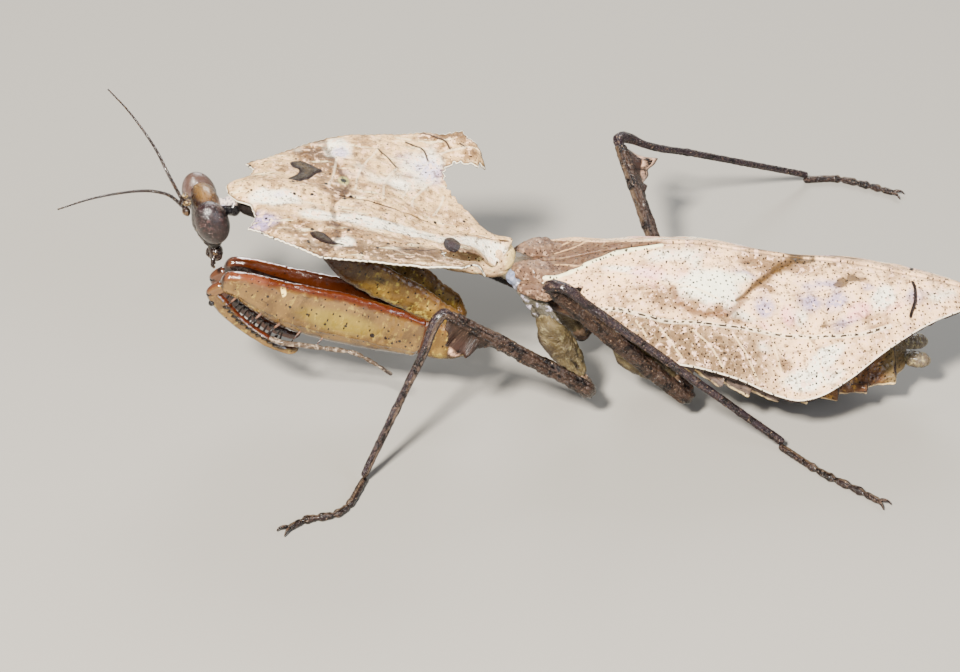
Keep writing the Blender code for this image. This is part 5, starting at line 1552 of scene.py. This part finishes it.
wing_points, wing_skin = leaf_plate(wing_flat, wing_faces, wing_middle, wing_thickness, wing_relief,
                                    -wing_relief * 0.6)
make_piece("wing_case_left", wing_points, wing_skin, wing_finish, ["tegmen_left"], wing_measures)
wing_points, _ = leaf_plate(wing_flat, wing_faces, wing_middle, wing_thickness, wing_relief * 0.3,
                            -wing_relief * 0.2)
make_piece("wing_case_right", wing_points * (1, -1, 1), wing_skin[:, ::-1], wing_finish,
           ["tegmen_right"], far_measures)

# %% [markdown]
# ### Hind wings
# The smoky hind wings lie folded under the wing cases.  They follow the same roof a little
# lower, in pleats.

# %% Hind wings
HINDWING_DROP = 1.2
HINDWING_START = 1.5
HINDWING_REACH = 0.85
HINDWING_MESH = 0.3
HINDWING_THICKNESS = 0.3
xs = np.linspace(10.5, 43.0, 90)
start = fold_place(xs)[:, 0] + HINDWING_START
reach = np.maximum(wing_width(xs) * HINDWING_REACH, start + 0.6)
hind_outline = [*zip(xs, start), *zip(xs[::-1], reach[::-1])]
hind_flat, hind_faces = leaf_grid(hind_outline, HINDWING_MESH)
hx, ha = hind_flat.T
hind_spread = np.column_stack([hx, ha, hx * 0])
pleat = np.sin(ha * 3.1 + 0.4 * np.sin(hx * 0.4))
hind_relief = 0.08 * pleat + 0.03 * rough(hind_spread, 0.6, 4)
hind_points, hind_skin = leaf_plate(hind_flat, hind_faces, wing_surface(hx, ha, HINDWING_DROP),
                                    np.full(len(hx), HINDWING_THICKNESS), hind_relief, -hind_relief)
hind_measures = {"skin": np.vstack([hind_spread] * 2), "pleat": np.concatenate([pleat, pleat])}
hind_finish = cuticle("smoky folded hind wing", "#2E2119", """
    #58462F pleat 0.75 0.98 0.8; #19100D mottle 0.5 0.3 0.7""",
    roughness=0.35, mottle=0.8)
make_piece("hind_wing_left", hind_points, hind_skin, hind_finish, ["hindwing_left"],
           hind_measures)
make_piece("hind_wing_right", hind_points * (1, -1, 1), hind_skin[:, ::-1], hind_finish,
           ["hindwing_right"], hind_measures)

# %% [markdown]
# ## Grasping forelegs
# Each foreleg folds like a pocket knife: a long coxa hangs from the prothorax, the flat femur
# carries two rows of thorns and the hooked tibia shuts against it.  The flat plates are sweeps
# with a boxy cross section, and the thorn tree plants the rows.

# %% Foreleg sizes
FORE_PLANE = {"left": -3.9, "right": 0.9}
FORE_COXA_PLANE = {"left": -2.1, "right": 2.75}
FORE_DROP = {"left": 0.0, "right": -1.5}
FORE_COXA = [
    ((-13.0, 16.1), 0.7, 1.2), ((-10.5, 14.5), 0.72, 1.7), ((-7.0, 12.4), 0.72, 1.6),
    ((-4.2, 10.5), 0.7, 1.3), ((-2.2, 9.1), 0.6, 1.0)]
FORE_TROCHANTER = [
    ((-6.0, 8.9), 0.66, 1.9), ((-4.65, 8.55), 0.72, 1.95), ((-3.4, 8.2), 0.75, 1.85),
    ((-1.9, 8.0), 0.7, 1.45), ((-0.8, 8.0), 0.5, 0.9)]
FORE_FEMUR = [
    (-5.15, 8.6, 2.0), (-8.25, 9.6, 2.4), (-13.1, 11.0, 2.7), (-17.3, 12.25, 2.5), (-20.0, 13.5, 1.95),
    (-22.4, 14.7, 1.35), (-24.0, 15.0, 0.95)]
FORE_FEMUR_HALF = 0.75
FORE_TIBIA = [
    ((-25.1, 13.7), 0.65), ((-24.4, 12.5), 0.8), ((-23.0, 10.7), 0.68), ((-21.2, 9.1), 0.58),
    ((-19.3, 7.8), 0.48), ((-17.7, 7.3), 0.28)]
FORE_TARSUS = [(-18.6, 9.3), (-16.6, 8.95), (-13.6, 8.45), (-11.8, 8.1), (-10.0, 7.0), (-8.2, 5.6)]
FEMUR_SPINES_OUT = [(0.9, 1.1), (0.76, 1.3), (0.66, 1.2), (0.57, 1.1), (0.46, 0.9)]
FEMUR_SPINES_IN = (0.4, 0.9, 13, 0.95)
TIBIA_SPINES = (0.18, 0.88, 12, 0.75)
SPINE_SEED = 11
FRECKLES = [
    (-17.59, 12.71, 0.16), (-16.01, 11.85, 0.15), (-14.38, 10.82, 0.16), (-12.48, 10.53, 0.16),
    (-10.03, 9.48, 0.24), (-7.48, 8.86, 0.16), (-8.78, 9.17, 0.14), (-8.19, 8.65, 0.14),
    (-12.98, 11.6, 0.12), (-15.13, 11.97, 0.13), (-19.62, 13.82, 0.15), (-18.87, 13.34, 0.12),
    (-11.24, 10.98, 0.12), (-10.32, 10.43, 0.12), (-8.51, 9.93, 0.14), (-6.93, 8.23, 0.12),
    (-6.33, 8.36, 0.12)]
PALE_BAR = (-18.2, 0.7, 14.5)
PALE_BAR_SHAPE = (1.9, 0.5, 0.62)
KNEE_DOT = (-24.9, 0.45, 12.9)
FORE_FOOT_RADII = (0.26, 0.26, 0.24, 0.23, 0.22, 0.2, 0.17)
FORE_FOOT_JOINTS = (0.42, 0.6, 0.74, 0.87)


def coxa_relief(s, angle, skin, length):
    edge = bell(np.sin(angle) - 0.9, 0.25) * np.abs(np.sin(s * 4.5))
    return 0.04 * edge + 0.1 * rough(skin, 1.1, 5) + 0.03 * rough(skin, 0.25, 6)


def femur_relief(s, angle, skin, length):
    keel = bell(np.sin(angle) + 0.45, 0.1) * 0.1
    upper = bell(np.sin(angle) - 0.99, 0.03) * 0.03 * np.clip(np.sin(s * 9.5), 0, 1)
    granules = 0.03 * np.clip(rough(skin, 0.45, 8), 0, 1)
    return keel + upper + granules + 0.07 * rough(skin, 1.4, 9)


def fore_foot_relief(s, angle, skin, length):
    notch = sum(bell(s / length - share, 0.018) for share in FORE_FOOT_JOINTS)
    return -0.1 * notch + 0.02 * rough(skin, 0.25, 6)


# %% [markdown]
# ### Finishes of the legs
# The outer face of the femur is ochre with dark freckles and a pale bar near the knee.  Its
# top edge and inner face are a deep glossy orange brown.

# %% Foreleg finishes
femur_finish = cuticle("ochre cuticle of the grasping femur", "#604721", """
    #432F15 blotch 0.46 0.58 0.75; #927B32 mottle 0.54 0.63 0.5; #2F1E0D streak 0.45 0.35 0.75;
    #897625 middle 0.35 0.9 0.5; #482610 front 0.2 1.0 0.7; #F7D885 pale 0.4 0.62 0.9;
    #25160A level -0.7 -0.97 0.8; #401805 level 0.62 0.88 1.0; #8F553D front 0.75 1.3 0.55;
    #F7C556 grain 0.65 0.7 0.45; #2F1103 inner 0.0 0.45 1.0; #0C0302 inside 0.3 0.9 1.0;
    #4E301D knee 0.3 0.9 0.6; #0E0503 freckle 0.05 -0.03 1.0; #150906 pores 0.1 0.07 1.0;
    #0E0605 along 0.975 0.99 0.8""",
    roughness=0.18, blotch=1.8, mottle=0.6, pores=0.85, spread=1.0, gloss=2.0, depth=0.007)
# The upper part of each coxa, the first stretch of its sweep, is painted dark brown: painted shadow of the
# shield above it.
coxa_finish = cuticle("cuticle of the coxae", "#775C28", """
    #453119 blotch 0.46 0.58 0.75; #B6A246 mottle 0.54 0.63 0.6; #2E200F streak 0.45 0.35 0.75;
    #25180E level -0.4 -0.95 0.6; #49240A level 0.4 0.95 0.6; #371805 along 0.42 0.1 1.0;
    #140A07 pores 0.1 0.07 1.0""",
    roughness=0.26, mottle=0.6, pores=0.9, spread=1.0, gloss=0.5, depth=0.02)
hip_finish = cuticle("leaf-like cuticle of the hips", "#594C31", """
    #362C1B blotch 0.46 0.58 0.8; #8A805B mottle 0.53 0.61 0.5; #1E170E streak 0.46 0.36 1.0;
    #241711 level -0.2 -0.9 0.75; #F7EA95 grain 0.64 0.7 0.35""",
    roughness=0.34, mottle=0.6, gloss=0.35, depth=0.07)
thorn_finish = cuticle("horny thorn", "#624534", """
    #140B0A along 0.3 0.5 1.0; #573A30 mottle 0.5 0.6 0.5""",
    roughness=0.2, mottle=0.5, gloss=0.6)
black_thorn_finish = cuticle("black glossy thorn", "#0E0908", "#3C2920 along 0.14 0.0 0.8",
                             roughness=0.14, mottle=0.5, gloss=1.0)
tarsus_finish = cuticle("slender foot of the foreleg", "#46382B", """
    #140C09 along 0.8 0.95 0.8; #A5937E mottle 0.5 0.6 0.7; #1C120E level -0.3 -0.9 0.7""",
    roughness=0.28, mottle=0.35, gloss=0.5)
print(len(bpy.data.materials), "materials so far")

# %% [markdown]
# ### Rows of thorns
# A thorn's root lies on the edge of the limb, a share of the limb's length along it.  It leans
# a little along the limb, by chance, and splays out to its own side.

# %% Thorn rows


def along_table(path, values, share):
    """The place, heading and a size at a share of a path's length."""
    lengths = arc_lengths(path)
    at = share * lengths[-1]
    spot = np.array([np.interp(at, lengths, path[:, k]) for k in range(3)])
    index = min(int(np.searchsorted(lengths, at, side="right")) - 1, len(path) - 2)
    return spot, unit(path[index + 1] - path[index]), np.interp(at, lengths, values)


def thorn_row(path, reaches, half, rows, depth, towards, chance, bias=0.0):
    """Roots and aims of thorns on one edge of a limb; a row is (side, share, length, splay)."""
    roots, aims = [], []
    for side, share, length, splay in rows:
        place, way, reach = along_table(path, reaches, share)
        down = unit(towards - way * np.dot(towards, way))
        lean = way * (bias + chance.uniform(-0.1, 0.1))
        roots.append(place + down * reach * depth + np.array([0.0, side * half * 0.55, 0.0]))
        aims.append((down + lean + np.array([0.0, side * splay, 0.0])) * length)
    return roots, aims


# %% [markdown]
# ### Both forelegs
# The far leg is the same leg in its own plane, a little lower.  Coxa and trochanter make one
# skin, femur and tibia another, each reaching into the next so that no joint gapes.

# %% Build the forelegs
for side_name, side in SIDES.items():
    plane = FORE_PLANE[side_name]
    drop = FORE_DROP[side_name]
    coxa_path, coxa_sizes = [], []
    for index, ((x, z), half, reach) in enumerate(FORE_COXA):
        coxa_path.append((x, FORE_COXA_PLANE[side_name], z + drop * index / (len(FORE_COXA) - 1)))
        coxa_sizes.append((half, reach, reach))
    coxa_path.append((-1.6, (FORE_COXA_PLANE[side_name] + plane) / 2, 8.5 + drop))
    coxa_sizes.append((0.6, 0.8, 0.8))
    coxa_path.insert(0, (-14.6, FORE_COXA_PLANE[side_name] * 0.7, 17.4))
    coxa_sizes.insert(0, (0.6, 1.0, 1.0))
    trochanter = [(x, plane, z + drop) for (x, z), _, _ in FORE_TROCHANTER]
    trochanter_sizes = [(half, reach, reach) for _, half, reach in FORE_TROCHANTER]
    skin_piece("fore_coxa_skin_" + side_name, [sweep(coxa_path, coxa_sizes, UP, 48, 0.12, coxa_relief),
               sweep(trochanter, trochanter_sizes, UP, 48, 0.12, coxa_relief)], coxa_finish,
               ["fore_coxa_" + side_name, "fore_trochanter_" + side_name])

    femur_path = np.array([(x, plane, z + drop) for x, z, _ in FORE_FEMUR])
    femur_reach = [reach for _, _, reach in FORE_FEMUR]
    femur = sweep(femur_path, [(FORE_FEMUR_HALF, reach, reach) for reach in femur_reach], UP, 72, 0.11,
                  femur_relief, square=0.85)
    pale_bar = np.array([PALE_BAR[0], plane + side * PALE_BAR[1], PALE_BAR[2] + drop])
    to_bar = np.linalg.norm((femur[0] - pale_bar) * PALE_BAR_SHAPE, axis=1)
    femur[2]["pale"] = bell(to_bar + 0.25 * noise(femur[0], 0.5, 3), 0.6)
    fx, fy, fz = femur[0].T
    level = femur[2]["level"]
    inner = -side * (fy - plane) / FORE_FEMUR_HALF
    freckle = np.min([np.hypot(fx - x, fz - z - drop) - size for x, z, size in FRECKLES], axis=0)
    femur[2].update({"inner": inner, "inside": inner * (level < 0.5), "freckle": freckle,
                     "middle": bell(fx + 13.0, 5.0) * bell(level, 0.5),
                     "front": np.clip((-16.5 - fx) / 3.5, 0, 1) * np.clip(level + 0.3, 0, 1),
                     "knee": bell(fx + 23.6, 0.8) * np.clip(level + 0.2, 0, 1)})
    tibia_path = np.array([(x, plane, z + drop) for (x, z), _ in FORE_TIBIA])
    tibia_reach = [reach for _, reach in FORE_TIBIA]
    tibia_full = np.vstack([[-23.6, plane, 14.6 + drop], tibia_path + (0.35, 0, 0.1),
                            [-16.9, plane, 7.75 + drop]])
    tibia_sizes = [(0.5, 0.6, 0.6), *[(0.5, reach * 0.92, reach * 0.92) for reach in tibia_reach[:-1]],
                   (0.22, 0.26, 0.26), (0.06, 0.06, 0.06)]
    tibia = sweep(tibia_full, tibia_sizes, UP, 48, 0.09, femur_relief, square=0.9)
    plain = np.zeros(len(tibia[0]))
    tibia[2].update({"pale": plain, "inner": -side * (tibia[0][:, 1] - plane) / 0.5, "inside": plain,
                     "freckle": plain + 1, "middle": plain, "front": plain + 0.2,
                     "knee": bell(tibia[0][:, 2] - 14.3 - drop, 1.0)})
    skin_piece("fore_femur_skin_" + side_name, [femur, tibia], femur_finish,
               ["fore_femur_" + side_name, "fore_tibia_" + side_name])

    knee_dot = np.array([KNEE_DOT[0], plane + side * KNEE_DOT[1], KNEE_DOT[2] + drop])
    chance = random.Random(SPINE_SEED)
    outer = [(side, share, length, 0.55) for share, length in FEMUR_SPINES_OUT]
    roots, aims = thorn_row(femur_path, femur_reach, FORE_FEMUR_HALF, outer, 0.84, -UP, chance, 0.55)
    skin_piece("femur_thorns_" + side_name, [thorns(roots, aims, thorn_finish, 0.085, 10, 0.1)],
               thorn_finish)
    first, last, count, length = FEMUR_SPINES_IN
    inner = [(-side, share, length * (1.15 if index % 2 else 0.65), 0.65)
             for index, share in enumerate(np.linspace(first, last, count))]
    roots, aims = thorn_row(femur_path, femur_reach, FORE_FEMUR_HALF, inner, 0.82, -UP, chance)
    first, last, count, length = TIBIA_SPINES
    rows = [(edge, share, length * chance.uniform(0.85, 1.15), 1.3)
            for share in np.linspace(first, last, count) for edge in (LEFT, RIGHT)]
    more_roots, more_aims = thorn_row(tibia_path, tibia_reach, 0.55, rows, 0.55, UP, chance)
    skin_piece("small_thorns_" + side_name, [thorns(roots + more_roots, aims + more_aims,
               black_thorn_finish, 0.15, 8, 0.12), dome(knee_dot, (-0.8, side, 0.1), 0.3, 0.25)],
               black_thorn_finish)

    foot_path = [(x, plane + side * 1.55, z + drop) for x, z in FORE_TARSUS]
    foot_path.insert(0, (-19.6, plane + side * 1.0, 9.4 + drop))
    foot = sweep(foot_path, even(FORE_FOOT_RADII), UP, 28, 0.08, fore_foot_relief)
    skin_piece("fore_foot_" + side_name, [foot], tarsus_finish,
               ["fore_tarsus_" + side_name])

# %% [markdown]
# ## Walking legs
# The middle and hind legs are thin, dark and rough like twigs, with ridges along them and a
# leafy lobe near each knee.  Each leg is one skin over its solids, sunk into the body at the
# hip, with a five part foot and a pair of claws.

# %% Leg sizes
LEG_KEYS = ("root", "base", "hip", "knee", "ankle", "toes", "step", "lobe", "thick", "thin")
LEG_ROWS = {
    "mid_left": [(6.3, -3.6, 10.1), (9.2, -4.0, 4.7), (9.8, -6.6, 5.0), (-2.6, -9.5, 14.8),
                 (-10.6, -14.8, 1.0), [(-13.1, -20.2), (-16.0, -21.2), (-17.4, -22.4)], (0, 0, 0),
                 (2.6, 0.86, 0.11), 0.8, 0.42],
    "mid_right": [(6.3, 3.6, 10.1), (9.2, 4.0, 4.7), (9.8, 6.6, 4.9), (-5.5, 10.0, 10.2),
                  (-12.0, 22.5, 1.0), [(-14.5, 26.7), (-17.0, 29.0), (-19.0, 30.5)], (0, 0, 0),
                  (2.6, 0.86, 0.11), 0.8, 0.42],
    "hind_left": [(13.4, -3.2, 7.0), (17.9, -3.9, 4.1), (19.0, -5.9, 3.5), (6.7, -10.2, 18.0),
                  (28.0, -9.6, 1.0), [(32.1, -14.3), (34.8, -16.6), (36.6, -18.3)], (1.35, -1.15, 0.75),
                  (1.5, 0.91, 0.045), 0.85, 0.43],
    "hind_right": [(13.4, 3.2, 7.0), (17.9, 3.9, 4.1), (19.6, 5.9, 3.6), (13.7, 21.5, 14.0),
                   (33.2, 37.4, 1.0), [(36.5, 37.6), (39.5, 36.4), (42.2, 34.9)], (0, 0, 0),
                   (2.9, 0.93, 0.14), 0.85, 0.37]}
LEGS = {name: dict(zip(LEG_KEYS, row)) for name, row in LEG_ROWS.items()}
LEG_COXA_SIZES = [(0.9, 1.1, 1.1), (1.0, 1.3, 1.3), (1.15, 1.4, 1.4), (0.75, 0.9, 0.9), (0.45, 0.5, 0.5)]
TROCHANTER_SIZES = [
    (0.45, 0.45, 0.45, 0), (0.6, 0.6, 0.6, 0), (0.7, 0.7, 0.7, 0), (0.72, 0.72, 0.72, 0),
    (0.62, 0.68, 0.68, 0)]
FEMUR_STEPS = 60
KNEE_RADII = (0.45, 0.52, 0.6, 0.62, 0.56)
SHIN_RADII = (0.95, 0.85, 0.82, 0.8, 0.8, 0.75)
TARSUS_RADIUS = 0.36
TARSUS_HEIGHT = 0.36
TARSUS_JOINTS = (0.4, 0.58, 0.72, 0.85)
CLAW = [(0.0, 0.14, 0.0), (0.4275, 0.3, 0.16), (0.8075, 0.48, 0.08), (1.064, 0.56, -0.18)]
CLAW_RADII = (0.19, 0.16, 0.11, 0.04)


def bark_relief(s, angle, skin, length):
    ridges = 0.05 * np.sin(angle * 7 + 0.6 * np.sin(s * 0.9))
    knots = 0.11 * np.clip(rough(skin * (0.6, 1, 1), 0.7, 15), 0, 1)
    return ridges + knots + 0.04 * rough(skin, 0.25, 16)


leg_finish = cuticle("bark-like leg cuticle", "#190F0E", """
    #31231A thigh 0.1 0.9 0.65; #271D24 shin 0.2 0.9 0.45; #2F201B lobe 0.2 0.5 0.75;
    #61503E level 0.88 0.99 0.5; #D9AD8F lobe 0.8 0.98 0.9; #070303 blotch 0.5 0.41 1.0;
    #44342C mottle 0.53 0.6 0.65; #060303 streak 0.48 0.39 1.0; #AA8C71 grain 0.61 0.67 0.75;
    #B59477 knob 0.4 0.9 0.75""",
    roughness=0.24, blotch=1.4, mottle=0.38, grain=0.2, gloss=0.25, depth=0.05)

# %% [markdown]
# ### One loop for four legs
# The femur's keel grows into the leafy lobe.  Past the knee the tibia first runs on along the
# femur and then turns, as the solids do.  Where a leg has a step, its knee turns aside first.

# %% Build a walking leg


def femur_line(leg):
    """The femur's path with its small trochanter; the sizes carry the leafy lobe as a keel."""
    base, hip, knee = (np.array(leg[key]) for key in ("base", "hip", "knee"))
    leaving = unit(base - np.array(leg["root"]))
    turn = base + leaving * (GAP + 1.2)
    path = [base - leaving * 0.9, base + leaving * GAP, base + leaving * (GAP + 0.5),
            turn + (hip - turn) * 0.5 + leaving * 0.35, hip]
    sizes = list(TROCHANTER_SIZES)
    height, place, spread = leg["lobe"]
    for index in range(1, FEMUR_STEPS + 1):
        part = index / FEMUR_STEPS
        path.append(hip + (knee - hip) * part)
        girth = leg["thick"] * 0.82 * (1.0 + 0.1 * math.sin(math.pi * part)) * (1.0 - 0.15 * part)
        lobe = height * math.exp(-((part - place) / spread) ** 2)
        lobe *= 1.0 + 0.14 * math.sin(part * 90) + 0.08 * math.sin(part * 190)
        sizes.append((girth * 0.85, girth, girth, lobe))
    path.append(knee + unit(knee - hip) * 0.35)
    sizes.append((0.5, 0.55, 0.55, 0))
    return np.array(path), sizes


def hip_relief(s, angle, skin, length):
    ridge = 0.16 * bell(np.sin(angle) - 0.2, 0.16) + 0.12 * bell(np.cos(angle) - 0.1, 0.12)
    return ridge + 0.14 * rough(skin, 1.0, 5) + 0.05 * rough(skin, 0.3, 6)


def leg_relief(s, angle, skin, length):
    tooth = 0.1 * np.clip(np.sin(s * 5.2), 0, 1) * bell(np.sin(angle) + 0.95, 0.12)
    return bark_relief(s, angle, skin, length) + tooth


def shin_relief(s, angle, skin, length):
    return 0.6 * bark_relief(s, angle, skin, length)


def tarsus_relief(s, angle, skin, length):
    notch = sum(bell(s / length - share, 0.02) for share in TARSUS_JOINTS)
    pads = sum(bell(s / length - share + 0.04, 0.03) for share in TARSUS_JOINTS)
    return -0.13 * notch + 0.08 * pads + 0.03 * rough(skin, 0.3, 6)


for leg_name, leg in LEGS.items():
    pair, flank = leg_name.split("_")
    root, base, hip, knee, ankle, knee_step = (
        np.array(leg[key], float) for key in ("root", "base", "hip", "knee", "ankle", "step"))
    inward = np.array([0.0, -math.copysign(1.0, root[1]), 0.3])
    coxa_path = [root + inward * 1.3, root, (root + base) / 2, base, base + unit(base - root) * 0.5]
    skin_piece(pair + "_coxa_skin_" + flank, [sweep(coxa_path, LEG_COXA_SIZES, UP, 44, 0.11, hip_relief)],
               hip_finish, [pair + "_coxa_" + flank])

    outward = unit(knee - hip)
    flexor = unit(ankle - knee - outward * np.dot(ankle - knee, outward))
    if knee_step.any():
        flexor = unit(UP - outward * np.dot(UP, outward))
    femur_path, femur_sizes = femur_line(leg)
    femur = sweep(femur_path, femur_sizes, -flexor, 80, 0.1, leg_relief, keel_power=60, blur=0.12,
                  curl=lambda at: 0.3 * np.sin(at * 1.9))

    onward = unit(ankle - knee - knee_step)
    elbow = knee + outward * (GAP + leg["thick"] * 1.05)
    path = [knee - outward * 0.5, knee + outward * GAP, knee + outward * (GAP + 0.45)]
    if knee_step.any():
        path += [elbow + knee_step * 0.45, elbow + knee_step + onward * 0.5,
                 knee + knee_step + onward * 2.2]
    else:
        path += [elbow + onward * 0.75, elbow + onward * 1.9, knee + outward * 0.8 + onward * 3.6]
    start = path[-1]
    path += [start + (ankle - start) * part for part in (0.3, 0.55, 0.8, 1.0)]
    foot_start = np.array([ankle[0], ankle[1], TARSUS_HEIGHT])
    path.append(ankle + unit(ankle - start) * 0.4)
    radii = [leg["thick"] * share for share in KNEE_RADII] + [leg["thin"] * share for share in SHIN_RADII]
    tibia = sweep(path, even(radii), unit(np.cross(outward, onward)), 44, 0.1, shin_relief, blur=0.3)

    toes = [np.array([x, y, TARSUS_HEIGHT]) for x, y in leg["toes"]]
    foot_path = [foot_start - unit(toes[0] - foot_start) * 0.1, *toes]
    foot_radii = [TARSUS_RADIUS * share for share in (0.95, 0.95, 0.95, 0.8)]
    foot = sweep(foot_path, even(foot_radii), UP, 28, 0.08, tarsus_relief)
    foot[0][:, 2] = np.maximum(foot[0][:, 2], 0.0)
    heading = unit(toes[-1] - toes[-2])
    wrist = toes[-1] - heading * 0.15
    skins = [femur, tibia, foot]
    for side in (LEFT, RIGHT):
        out = np.array([heading[1], -heading[0], 0.0]) * side
        hook = [wrist + heading * ahead + out * aside + UP * rise for ahead, aside, rise in CLAW]
        skins.append(sweep(hook, even(CLAW_RADII), UP, 16, 0.05))
    for index, each in enumerate(skins):
        plain = np.zeros(len(each[0]))
        each[2].update({"lobe": plain, "thigh": plain + (index == 0), "shin": plain + (index == 1),
                        "knob": plain})
    height, place, spread = leg["lobe"]
    from_hip = femur[0] - hip
    aside = np.linalg.norm(from_hip - np.outer(from_hip @ outward, outward), axis=1)
    near_lobe = bell(from_hip @ outward / np.linalg.norm(knee - hip) - place, spread * 1.9) > 0.1
    femur[2]["lobe"] = np.clip((aside - leg["thick"] * 0.9) / (height * 0.9), 0, 1) * near_lobe
    if leg_name == "hind_right":
        femur[2]["lobe"] = np.clip(femur[2]["lobe"] * 2.2, 0, 1)
    femur[2]["knob"] = bell(np.linalg.norm(femur[0] - base, axis=1), 1.1)
    skin_piece(leg_name + "_leg_skin", skins, leg_finish,
               [pair + "_" + part + "_" + flank for part in ("femur", "tibia", "tarsus")])

# %% [markdown]
# ## Sizes, and done
# The dressed model should stay in the box of the solids, but for a little relief.

# %% Finish
new_low, new_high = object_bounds()
boxes = {"cad": [list(map(float, cad_low)), list(map(float, cad_high))],
         "dressed": [list(map(float, new_low)), list(map(float, new_high))]}
for key, (low, high) in boxes.items():
    print(key, [round((b - a) / MM, 2) for a, b in zip(low, high)], "mm")
